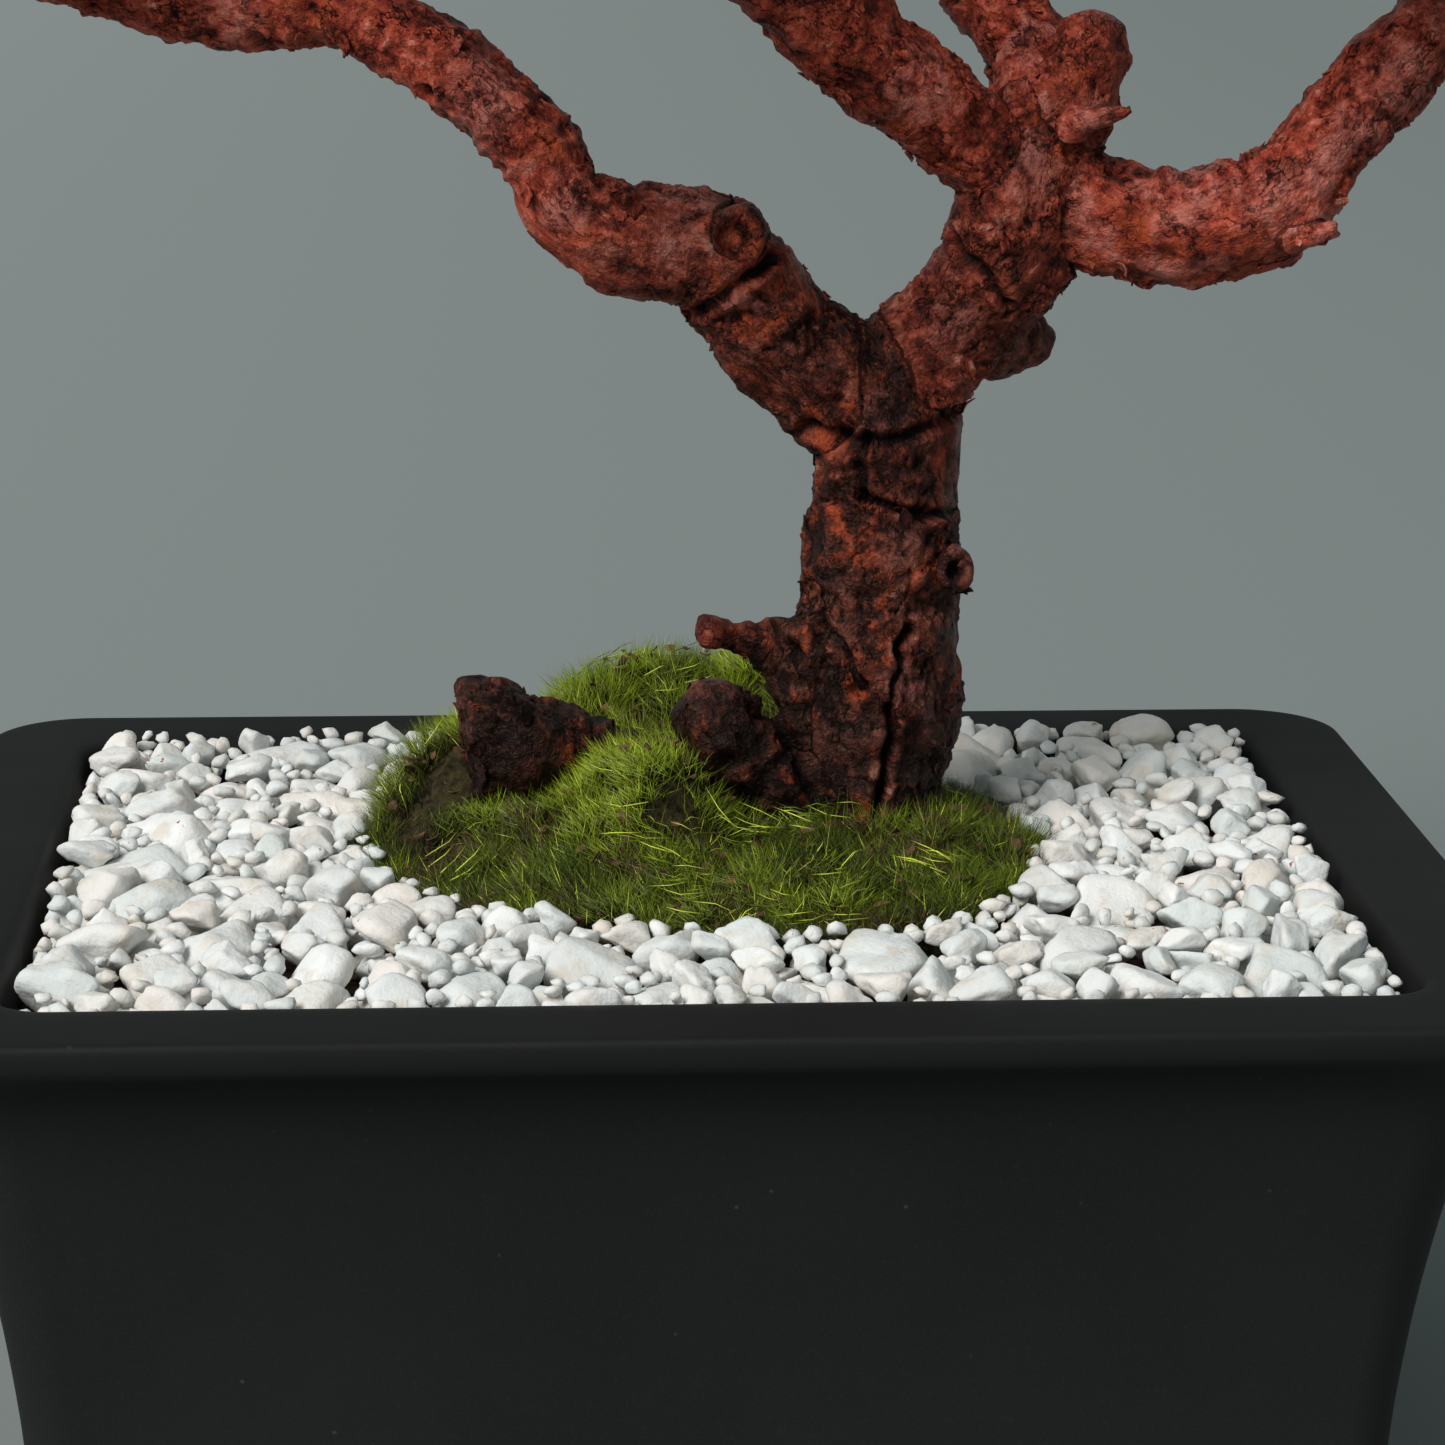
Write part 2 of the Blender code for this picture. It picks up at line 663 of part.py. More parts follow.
def make_moss(collection, cutters, wood):
    """The moss cushion: mounds with tufts standing from them, cut clear of the wood."""
    draw = random.Random(SEED + 1)
    outline = moss_outline()
    middle = Vector(MOSS_CENTRE)
    mesh = bmesh.new()
    foot = [mesh.verts.new((*point, SOIL_TOP + GAP)) for point in outline]
    mesh.faces.new(list(reversed(foot)))
    last = foot
    top_faces = []
    for share in reversed(MOSS_RINGS):
        row = []
        for point in outline:
            place = middle + (point - middle) * share
            row.append(mesh.verts.new((*place, moss_height(*place, share))))
        for i in range(MOSS_SEGMENTS):
            j = (i + 1) % MOSS_SEGMENTS
            face = mesh.faces.new((last[i], last[j], row[j], row[i]))
            if share < MOSS_BARE_EDGE:
                top_faces.append(face)
        last = row
    peak = mesh.verts.new((*middle, moss_height(*middle, 0)))
    for i in range(MOSS_SEGMENTS):
        mesh.faces.new((last[i], last[(i + 1) % MOSS_SEGMENTS], peak))
    split = bmesh.ops.triangulate(mesh, faces=top_faces)["faces"]
    for face in split:
        if draw.random() < MOSS_TUFT_SHARE and face.calc_area() > MOSS_LEAST_FACE:
            lean = Vector((draw.uniform(-1, 1), draw.uniform(-1, 1), 0)) * MOSS_TUFT_LEAN
            lean.z = MOSS_TUFT_LIFT
            tip = (face.normal + lean).normalized() * draw.uniform(*MOSS_TUFT)
            tip += face.calc_center_median()
            bmesh.ops.poke(mesh, faces=[face])["verts"][0].co = tip
    moss = add_object("moss_cushion", mesh, collection, material("moss", (0.10, 0.19, 0.018), 0.9))
    moss.data.transform(on_ground())
    swollen = as_cutter(add_object("wood_clearance_cutter", wood.data.copy(), cutters))
    swell = swollen.modifiers.new("Clearance", "DISPLACE")
    swell.strength = MOSS_WOOD_GAP
    swell.mid_level = 0.0
    apply_modifiers(swollen)
    boolean(moss, "DIFFERENCE", swollen)
    keep_largest(moss)
    return moss


def limb_line(name):
    """A limb's middle line: (place, radius) in metres, evenly read from a smooth curve."""
    points = [Vector(point) * MM for point in LIMBS_MM[name]]
    line = []
    last = len(points) - 1
    for i in range(last):
        near = [points[max(0, min(last, i + k))] for k in (-1, 0, 1, 2)]
        line += [between(*near, step / LIMB_STEPS) for step in range(LIMB_STEPS)]
    line.append(points[-1])
    return [(point.to_3d(), point.w) for point in line]


def limb_end(name):
    """The place, direction and radius of a limb's trimmed end."""
    line = limb_line(name)
    return line[-1][0], (line[-1][0] - line[-3][0]).normalized(), line[-1][1]


def tube(name, line, collection, roundness):
    """A round tube along a line of (place, radius), as a mesh with welded caps."""
    curve = bpy.data.curves.new(name, "CURVE")
    curve.dimensions = "3D"
    curve.bevel_depth = 1.0
    curve.bevel_resolution = roundness
    curve.use_fill_caps = True
    spline = curve.splines.new("POLY")
    spline.points.add(len(line) - 1)
    for point, (place, radius) in zip(spline.points, line):
        point.co = (*place, 1.0)
        point.radius = radius
    guide = bpy.data.objects.new(name, curve)
    collection.objects.link(guide)
    bpy.context.view_layer.update()
    graph = bpy.context.evaluated_depsgraph_get()
    mesh = bpy.data.meshes.new_from_object(guide.evaluated_get(graph))
    bpy.data.objects.remove(guide, do_unlink=True)
    solid = bmesh.new()
    solid.from_mesh(mesh)
    bpy.data.meshes.remove(mesh)
    bmesh.ops.remove_doubles(solid, verts=solid.verts, dist=0.01 * MM)
    bmesh.ops.recalc_face_normals(solid, faces=solid.faces)
    return solid


def wood_samples():
    """A search tree over every limb's middle line, with each sample's radius."""
    samples = []
    for name in LIMBS_MM:
        line = limb_line(name)
        for (a, radius_a), (b, radius_b) in zip(line, line[1:]):
            steps = max(1, round((b - a).length / MM))
            for step in range(steps):
                t = step / steps
                samples.append((a.lerp(b, t), radius_a + (radius_b - radius_a) * t))
        samples.append(line[-1])
    tree = kdtree.KDTree(len(samples))
    for i, (place, _) in enumerate(samples):
        tree.insert(place, i)
    tree.balance()
    return tree, [radius for _, radius in samples]


def make_wood(collection, cutters, samples):
    """Trunk, limbs, roots and stubs, grown together as one solid with lumpy bark."""
    tree, radii = samples
    trimmed = {pad[0] for pad in PADS_MM.values()}
    whole = bmesh.new()
    for name in LIMBS_MM:
        line = limb_line(name)
        if name in trimmed:
            place, direction, radius = limb_end(name)
            line.append((place + direction * 2 * radius, radius))
        piece = bpy.data.meshes.new(name)
        solid = tube(name, line, cutters, LIMB_ROUND)
        solid.to_mesh(piece)
        solid.free()
        whole.from_mesh(piece)
        bpy.data.meshes.remove(piece)
    finish = material("pine_bark", (0.13, 0.045, 0.03), 0.8)
    wood = add_object("tree_wood", whole, collection)
    remesh = wood.modifiers.new("Grown together", "REMESH")
    remesh.mode = "VOXEL"
    remesh.voxel_size = WOOD_VOXEL
    apply_modifiers(wood)
    mesh = wood.data
    for vert in mesh.vertices:
        near, index, _ = tree.find(vert.co)
        radius = radii[index]
        fade = min(1.0, max(0.0, (vert.co.z - SOIL_LINE) / BARK_LUMP))
        lump = noise.noise(vert.co / BARK_LUMP) + noise.noise(vert.co * 2 / BARK_LUMP) / 2
        vert.co += (vert.co - near).normalized() * lump * BARK_SHARE * radius * fade
    thin = wood.modifiers.new("Few faces", "DECIMATE")
    thin.ratio = WOOD_TRIANGLES / (2 * len(mesh.polygons))
    thin.use_collapse_triangulate = True
    apply_modifiers(wood)
    for name in sorted(trimmed):
        place, direction, _ = limb_end(name)
        end = place + direction * TRIM_LENGTH
        beyond = cone(place, end, TRIM_RADIUS, TRIM_RADIUS, ROUND_SIDES)
        boolean(wood, "DIFFERENCE", as_cutter(add_object("trim_cutter", beyond, cutters)))
    keep_largest(wood)
    wood.data.materials.clear()
    wood.data.materials.append(finish)
    return wood


def pad_walls(name):
    """The planes half way to each other pad, as (point, normal pointing away)."""
    middle = Vector(PADS_MM[name][1]) * MM
    walls = []
    for other, (_, place, _, _) in PADS_MM.items():
        if other != name:
            away = Vector(place) * MM - middle
            walls.append((middle + away / 2, away.normalized()))
    return walls


def held_back(point, walls, clear):
    """A point moved back behind each wall, if it is beyond one."""
    for place, normal in walls:
        over = (point - place).dot(normal) + clear
        if over > 0:
            point = point - normal * over
    return point


def shoot_places(name):
    """Each shoot of a pad as (tip of its bud, direction it points)."""
    _, middle, reach, count = PADS_MM[name]
    middle = Vector(middle) * MM
    walls = pad_walls(name)
    places = []
    for k in range(count):
        share = 0.0 if k == 0 else 1 - RING_STAGGER * (k % 2)
        angle = math.tau * k / (count - 1) + middle.x / MM
        flat = Vector((math.cos(angle), math.sin(angle), 0)) * share
        place = middle + flat * reach * MM + Vector((0, 0, PAD_DOME * (1 - share)))
        lift = SHOOT_LIFT_MIDDLE + share * (SHOOT_LIFT_RIM - SHOOT_LIFT_MIDDLE)
        direction = (flat + Vector((0, 0, lift))).normalized()
        places.append((held_back(place, walls, BUD_CLEAR), direction))
    return places


def clear_of_wood(start, end, samples):
    """Whether a straight needle stays off every limb."""
    tree, radii = samples
    for step in range(1, 8):
        place = start.lerp(end, step / 7)
        near, index, away = tree.find(place)
        if away < radii[index] * (1 + 2 * BARK_SHARE) + NEEDLE_CLEAR:
            return False
    return True


def apart(a, b, c, d):
    """The distance between two straight pieces, a to b and c to d."""
    u, v, w = b - a, d - c, a - c
    uu, uv, vv = u.dot(u), u.dot(v), v.dot(v)
    uw, vw = u.dot(w), v.dot(w)
    cross = uu * vv - uv * uv
    s = min(1.0, max(0.0, (uv * vw - vv * uw) / cross)) if cross > 1e-18 else 0.0
    t = min(1.0, max(0.0, (uv * s + vw) / vv))
    s = min(1.0, max(0.0, (uv * t - uw) / uu))
    return (w + u * s - v * t).length


def clear_of_needles(start, end, own, others, twigs):
    """Whether a needle stays off its own bud's needles, the other buds' and the twigs."""
    for a, b in own:
        if apart(start.lerp(end, NEEDLE_ROOT), end, a.lerp(b, NEEDLE_ROOT), b) < OWN_CLEAR:
            return False
    for a, b in others:
        if apart(start, end, a, b) < OTHER_CLEAR:
            return False
    return all(apart(start, end, a, b) > TWIG_CLEAR for a, b in twigs)


def needled_bud(draw, place, direction, walls, samples, others, twigs):
    """A slim bud whose faces are drawn out into three-sided needles."""
    mesh = bmesh.new()
    bmesh.ops.create_icosphere(mesh, subdivisions=2, radius=1.0)
    heel = [vert for vert in mesh.verts if vert.co.z < BUD_HEEL]
    bmesh.ops.pointmerge(mesh, verts=heel, merge_co=(0, 0, -1))
    turn = direction.to_track_quat("Z", "Y").to_matrix() @ Matrix.Rotation(draw.uniform(0, math.tau), 3, "Z")
    ready = []
    for face in mesh.faces:
        outward = face.calc_center_median().normalized()
        if outward.z > 0 and draw.random() < NEEDLE_SHARE:
            ready.append((face, outward))
    size = Vector((BUD_RADIUS, BUD_RADIUS, BUD_HALF_LENGTH))
    for vert in mesh.verts:
        vert.co = place + turn @ Vector(a * b for a, b in zip(vert.co, size))
    own = []
    for face, outward in ready:
        middle = face.calc_center_median()
        for _ in range(NEEDLE_TRIES):
            aim = turn @ (outward + Vector((0, 0, BUD_RAISE)))
            aim += Vector(draw.uniform(-1, 1) for _ in range(3)) * NEEDLE_SPREAD
            aim.normalize()
            length = draw.uniform(*NEEDLE_LENGTH)
            for _ in range(4):
                tip = held_back(middle + aim * length, walls, PAD_CLEAR)
                aim = (tip - middle).normalized()
            if aim.z < NEEDLE_DROOP or aim.dot(turn @ outward) < NEEDLE_RISE:
                continue
            if not clear_of_wood(middle, tip, samples):
                continue
            if clear_of_needles(middle, tip, own, others, twigs):
                own.append((middle, tip))
                bmesh.ops.poke(mesh, faces=[face])["verts"][0].co = tip
                break
    return mesh, own


def make_spray(name, collection, cutters, finish, samples):
    """One pad of the crown: a slim forked twig with a needled bud on each shoot."""
    draw = random.Random(f"{SEED} {name}")
    limb, middle, _, _ = PADS_MM[name]
    end, direction, radius = limb_end(limb)
    start = end + direction * GAP
    hub = Vector(middle) * MM - Vector((0, 0, PAD_DOME / 2))
    stem = [(start, radius), (start + direction * STEM_STRAIGHT, radius), (hub, STEM_RADIUS)]
    pieces = [add_object("stem", tube("stem", stem, cutters, STEM_ROUND), cutters)]
    knuckle = bmesh.new()
    turn = Matrix.Translation(hub) @ Matrix.Rotation(draw.uniform(0, math.tau), 4, "X")
    bmesh.ops.create_icosphere(knuckle, subdivisions=1, radius=KNUCKLE_RADIUS, matrix=turn)
    pieces.append(add_object("knuckle", knuckle, cutters))
    walls = pad_walls(name)
    shoots = shoot_places(name)
    others = []
    for place, aim in shoots:
        twigs = []
        for tip, turn in shoots:
            if tip != place:
                half = turn * BUD_HALF_LENGTH
                twigs += [(hub, tip - half), (tip - half, tip + half)]
        along = (place - hub).normalized()
        root = hub + along * SHOOT_ROOT
        twigs.append((root, place - along * SHOOT_BARE))
        shoot = [(root, SHOOT_RADIUS), (place, SHOOT_TIP_RADIUS)]
        pieces.append(add_object("shoot", tube("shoot", shoot, cutters, SHOOT_ROUND), cutters))
        bud, grown = needled_bud(draw, place, aim, walls, samples, others, twigs)
        others += grown
        pieces.append(add_object("bud", bud, cutters))
    return join_all(name, pieces, cutters, collection, finish)


clear_scene()
parts = new_collection("black_pine_bonsai")
helpers = new_collection("cutters")
make_pot(parts, helpers)
screen_plastic = material("black_plastic", (0.02, 0.02, 0.02), 0.6)
make_screen(-1, "drain_screen_left", parts, screen_plastic)
make_screen(1, "drain_screen_right", parts, screen_plastic)
make_soil(parts, helpers)
make_gravel(parts, helpers)
limb_samples = wood_samples()
tree_wood = make_wood(parts, helpers, limb_samples)
tree_wood.data.transform(planted())
make_moss(parts, helpers, tree_wood)
needles = material("pine_needles", (0.030, 0.085, 0.022), 0.55)
for spray in PADS_MM:
    pad = make_spray(spray, parts, helpers, needles, limb_samples)
    pad.data.transform(planted())
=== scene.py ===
import math
from itertools import product as pairings

import bmesh
import bpy
import numpy as np
from mathutils import Matrix, Vector, kdtree


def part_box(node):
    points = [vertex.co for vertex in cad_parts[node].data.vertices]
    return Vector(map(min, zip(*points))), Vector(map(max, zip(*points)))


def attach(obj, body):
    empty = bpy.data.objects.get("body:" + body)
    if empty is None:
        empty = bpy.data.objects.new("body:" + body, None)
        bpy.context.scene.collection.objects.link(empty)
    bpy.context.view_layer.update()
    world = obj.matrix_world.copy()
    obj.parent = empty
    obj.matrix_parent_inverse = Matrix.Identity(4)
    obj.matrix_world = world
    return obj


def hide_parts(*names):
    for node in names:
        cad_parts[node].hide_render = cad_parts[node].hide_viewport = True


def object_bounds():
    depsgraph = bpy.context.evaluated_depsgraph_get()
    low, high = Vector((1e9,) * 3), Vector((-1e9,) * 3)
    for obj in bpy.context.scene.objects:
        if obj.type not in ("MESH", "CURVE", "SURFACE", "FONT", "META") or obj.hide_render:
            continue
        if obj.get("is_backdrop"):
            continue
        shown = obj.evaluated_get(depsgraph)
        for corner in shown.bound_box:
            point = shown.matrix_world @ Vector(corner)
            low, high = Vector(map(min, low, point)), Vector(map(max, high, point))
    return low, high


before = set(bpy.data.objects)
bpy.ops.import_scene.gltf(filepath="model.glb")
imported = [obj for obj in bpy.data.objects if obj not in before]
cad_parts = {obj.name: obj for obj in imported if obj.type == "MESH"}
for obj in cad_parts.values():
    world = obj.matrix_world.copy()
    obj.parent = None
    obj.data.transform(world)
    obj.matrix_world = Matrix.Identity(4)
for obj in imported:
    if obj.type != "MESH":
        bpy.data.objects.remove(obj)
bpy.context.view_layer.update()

# Pot. Slip-cast stoneware, fired matt black and left unglazed: a tapered box with round
# corners and a cove under its rolled lip. Two grooves under the flat base let the drains run.
MM = 0.001
POT_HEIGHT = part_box("pot")[1].z
LIP_HALF_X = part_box("pot")[1].x
LIP_HALF_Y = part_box("pot")[1].y
LIP_CORNER = 13 * MM
CORNER_SHARE = 0.45
CORNER_STEPS = 14
POT_OUTSIDE_MM = (
    (17.0, 0.0), (15.9, 1.2), (15.4, 20.0), (13.6, 36.0), (11.5, 48.0), (8.9, 60.0), (6.8, 68.5),
    (4.8, 71.4), (1.2, 73.2), (0.0, 74.4), (0.0, 76.9), (0.35, 77.75), (1.2, 78.0),
)
POT_MOUTH_MM = ((12.8, 78.0), (13.9, 77.0), (14.2, 75.0))
POT_FLOOR_MM = ((20.5, 10.5), (23.0, 8.0))
DRAIN_X = 38 * MM
DRAIN_RADIUS = 4.5 * MM
GROOVE_WIDTH = 12 * MM
GROOVE_DEPTH = 2.5 * MM
POT_BLACK = (0.0128, 0.0132, 0.0135)
# Painted shade: the next colour darkens the lip, faded in between the two heights given below.
POT_LIP_SHADE = (0.0078, 0.0080, 0.0081)
POT_DUST = (0.023, 0.024, 0.025)
POT_SPECK = (0.11, 0.115, 0.12)
LIP_SHADE_FROM_Z = (70 * MM, 74 * MM)
POT_WEAR = 2
DRAIN_SIDES = 40
SHARPEST_SMOOTH = math.radians(38)


def worn(points, times):
    """A line whose corners are rounded off some times, its two ends kept."""
    points = np.array(points, float)
    for _ in range(times):
        near = 0.75 * points[:-1] + 0.25 * points[1:]
        far = 0.25 * points[:-1] + 0.75 * points[1:]
        between_ends = np.stack([near, far], axis=1).reshape(-1, 2)
        points = np.concatenate([points[:1], between_ends, points[-1:]])
    return points


def pot_ring(inset, height):
    """The pot's outline, drawn in by an inset from the lip's outer edge."""
    radius = LIP_CORNER - CORNER_SHARE * inset
    turn = np.linspace(0, math.tau / 4, CORNER_STEPS + 1)
    ring = []
    for corner, (side_x, side_y) in enumerate(((1, 1), (-1, 1), (-1, -1), (1, -1))):
        angle = turn + corner * math.tau / 4
        x = side_x * (LIP_HALF_X - inset - radius) + radius * np.cos(angle)
        y = side_y * (LIP_HALF_Y - inset - radius) + radius * np.sin(angle)
        ring.append(np.column_stack([x, y, np.full_like(x, height)]))
    return np.concatenate(ring)


def loft(rings):
    """A closed mesh through rings of as many points each, capped at both ends."""
    mesh = bmesh.new()
    rows = [[mesh.verts.new(point) for point in ring] for ring in rings]
    count = len(rows[0])
    for low, high in zip(rows, rows[1:]):
        for i in range(count):
            j = (i + 1) % count
            mesh.faces.new((low[i], low[j], high[j], high[i]))
    mesh.faces.new(list(reversed(rows[0])))
    mesh.faces.new(rows[-1])
    return mesh


def as_object(name, mesh):
    """Link a bmesh or a mesh as an object."""
    if isinstance(mesh, bmesh.types.BMesh):
        held = bpy.data.meshes.new(name)
        mesh.to_mesh(held)
        mesh.free()
    else:
        held = mesh
    made = bpy.data.objects.new(name, held)
    bpy.context.scene.collection.objects.link(made)
    return made


def settle(thing):
    """Replace an object's mesh by the one that its modifiers give."""
    bpy.context.view_layer.update()
    graph = bpy.context.evaluated_depsgraph_get()
    mesh = bpy.data.meshes.new_from_object(thing.evaluated_get(graph))
    thing.modifiers.clear()
    thing.data = mesh


def cut_away(thing, cutter):
    """Cut a shape out of an object, and use the cutter up."""
    tool = as_object("cutter", cutter)
    change = thing.modifiers.new("Cut", "BOOLEAN")
    change.operation = "DIFFERENCE"
    change.object = tool
    settle(thing)
    bpy.data.objects.remove(tool, do_unlink=True)


def node(finish, kind, inputs=None, **settings):
    """One shader node, with its settings, its plain values and its links."""
    made = finish.node_tree.nodes.new("ShaderNode" + kind)
    for name, value in settings.items():
        setattr(made, name, value)
    for socket, value in (inputs or {}).items():
        if isinstance(value, bpy.types.NodeSocket):
            finish.node_tree.links.new(value, made.inputs[socket])
        else:
            made.inputs[socket].default_value = value
    return made


def new_finish(name, **plain):
    """A material with its shader, the plain values of that shader, and object coordinates."""
    finish = bpy.data.materials.new(name)
    finish.use_nodes = True
    shader = finish.node_tree.nodes["Principled BSDF"]
    for socket, value in plain.items():
        shader.inputs[socket.replace("_", " ")].default_value = value
    place = node(finish, "TexCoord").outputs["Object"]
    return finish, shader, place


def mixed(finish, share, first, second):
    """Two colours mixed by a share; each is a socket or a plain colour."""
    first = first if isinstance(first, bpy.types.NodeSocket) else (*first, 1.0)
    second = second if isinstance(second, bpy.types.NodeSocket) else (*second, 1.0)
    made = node(finish, "Mix", {0: share, 6: first, 7: second}, data_type="RGBA")
    return made.outputs[2]


def product(finish, *values):
    """Some values, each a socket or a plain number, multiplied together."""
    made = values[0]
    for value in values[1:]:
        made = node(finish, "Math", {0: made, 1: value}, operation="MULTIPLY").outputs[0]
    return made


def noise_in(finish, place, per_metre, detail=3.0, roughness=0.6):
    """Noise of a scale, with its finer detail."""
    inputs = {"Vector": place, "Scale": per_metre, "Detail": detail, "Roughness": roughness}
    return node(finish, "TexNoise", inputs).outputs["Fac"]


def spread(finish, value, low, high, to_low=0.0, to_high=1.0):
    """A value's range low to high spread over another, and held there."""
    inputs = {"Value": value, "From Min": low, "From Max": high, "To Min": to_low, "To Max": to_high}
    return node(finish, "MapRange", inputs, clamp=True).outputs["Result"]


def bump(finish, shader, height, distance, strength=1.0, under=None):
    """A bump of a real depth in the shader's normal, over another if there is one."""
    inputs = {"Height": height, "Distance": distance, "Strength": strength}
    if under is not None:
        inputs["Normal"] = under
    normal = node(finish, "Bump", inputs).outputs["Normal"]
    finish.node_tree.links.new(normal, shader.inputs["Normal"])
    return normal


def wire(finish, value, shader, socket):
    """Link a value to a socket of the shader."""
    finish.node_tree.links.new(value, shader.inputs[socket])


def put(piece, finish, slot, *nodes):
    """A finished piece: it wears its finish, rides on the body and hides the nodes it takes the place
    of.
    """
    piece.data.materials.clear()
    piece.data.materials.append(finish)
    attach(piece, "root")
    if nodes:
        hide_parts(*nodes)


def matt_stoneware():
    """Matt black with a fine bisque grain, faint rubbed clouds, specks of gravel dust, and painted
    shade on its lip.
    """
    finish, shader, place = new_finish("matt_black_stoneware", Specular_IOR_Level=0.2)
    clouds = noise_in(finish, place, 28, 4)
    grain = noise_in(finish, place, 2600, 2)
    dots = node(finish, "TexVoronoi", {"Vector": place, "Scale": 210.0}, feature="F1")
    dusty = noise_in(finish, place, 60, 2)
    speck = spread(finish, dots.outputs["Distance"], 0.03, 0.07, 1, 0)
    speck = product(finish, speck, spread(finish, dusty, 0.5, 0.62, 0, 0.35))
    colour = mixed(finish, spread(finish, clouds, 0.42, 0.72, 0, 0.3), POT_BLACK, POT_DUST)
    colour = mixed(finish, spread(finish, grain, 0.54, 0.72, 0, 0.5), colour, POT_DUST)
    rise = node(finish, "SeparateXYZ", {"Vector": place}).outputs["Z"]
    # Painted shade: the lip is painted darker from 70 mm up.
    colour = mixed(finish, spread(finish, rise, *LIP_SHADE_FROM_Z, 0, 0.8), colour, POT_LIP_SHADE)
    colour = mixed(finish, speck, colour, POT_SPECK)
    wire(finish, colour, shader, "Base Color")
    wire(finish, spread(finish, clouds, 0.3, 0.7, 0.6, 0.76), shader, "Roughness")
    bump(finish, shader, grain, 0.05 * MM, 0.6)
    return finish


profile = worn(POT_OUTSIDE_MM + POT_MOUTH_MM + POT_FLOOR_MM, POT_WEAR) * MM
pot = loft([pot_ring(inset, height) for inset, height in profile])
pot = as_object("stoneware_pot", pot)
for side in (-1, 1):
    groove = bmesh.new()
    bmesh.ops.create_cube(groove, size=1.0)
    bmesh.ops.scale(groove, vec=(GROOVE_WIDTH, 4 * LIP_HALF_Y, 2 * GROOVE_DEPTH), verts=groove.verts)
    bmesh.ops.translate(groove, vec=(side * DRAIN_X, 0, 0), verts=groove.verts)
    cut_away(pot, groove)
    drain = bmesh.new()
    bmesh.ops.create_cone(
        drain,
        cap_ends=True,
        segments=DRAIN_SIDES,
        radius1=DRAIN_RADIUS,
        radius2=DRAIN_RADIUS,
        depth=POT_HEIGHT / 2,
        matrix=Matrix.Translation((side * DRAIN_X, 0, 0)),
    )
    cut_away(pot, drain)
pot.data.shade_smooth()
pot.data.set_sharp_from_angle(angle=SHARPEST_SMOOTH)
put(pot, matt_stoneware(), "black_ceramic", "pot")

# Drain screens. Two moulded plastic squares lie on the floor inside and keep the soil off
# the drains. Their solids are right as they are; only the plastic's finish is added.
SCREEN_PLASTIC = (0.012, 0.012, 0.012), (0.030, 0.030, 0.029)
finish, shader, place = new_finish("moulded_screen_plastic", Specular_IOR_Level=0.4)
flow = noise_in(finish, place, 240, 3)
wire(finish, mixed(finish, flow, *SCREEN_PLASTIC), shader, "Base Color")
wire(finish, spread(finish, flow, 0.3, 0.7, 0.5, 0.7), shader, "Roughness")
bump(finish, shader, noise_in(finish, place, 3000, 1), 0.04 * MM, 0.4)
for screen in ("drain_screen_left", "drain_screen_right"):
    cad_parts[screen].material_slots[0].material = finish

# Soil. Fired clay granules and sifted humus, pressed in round the root up to the gravel.
# Its solid fills the pot, and its finish shows granules of several browns with painted shade in the
# gaps between them.
GRANULES_PER_METRE = 420.0
SOIL_BROWNS = (0.030, 0.018, 0.011), (0.105, 0.062, 0.036)
SOIL_CREVICE_SHADE = (0.010, 0.007, 0.005)
finish, shader, place = new_finish("granular_soil", Specular_IOR_Level=0.25, Roughness=0.95)
grains = node(finish, "TexVoronoi", {"Vector": place, "Scale": GRANULES_PER_METRE}, feature="F1")
tone = node(finish, "SeparateColor", {"Color": grains.outputs["Color"]}).outputs["Red"]
colour = mixed(finish, tone, *SOIL_BROWNS)
# Painted shade: the gaps between the granules are painted near black.
painted_crevice_shade = spread(finish, grains.outputs["Distance"], 0.35, 0.75, 0, 0.8)
wire(finish, mixed(finish, painted_crevice_shade, colour, SOIL_CREVICE_SHADE), shader, "Base Color")
bump(finish, shader, grains.outputs["Distance"], -1.2 * MM)
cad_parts["soil"].material_slots[0].material = finish

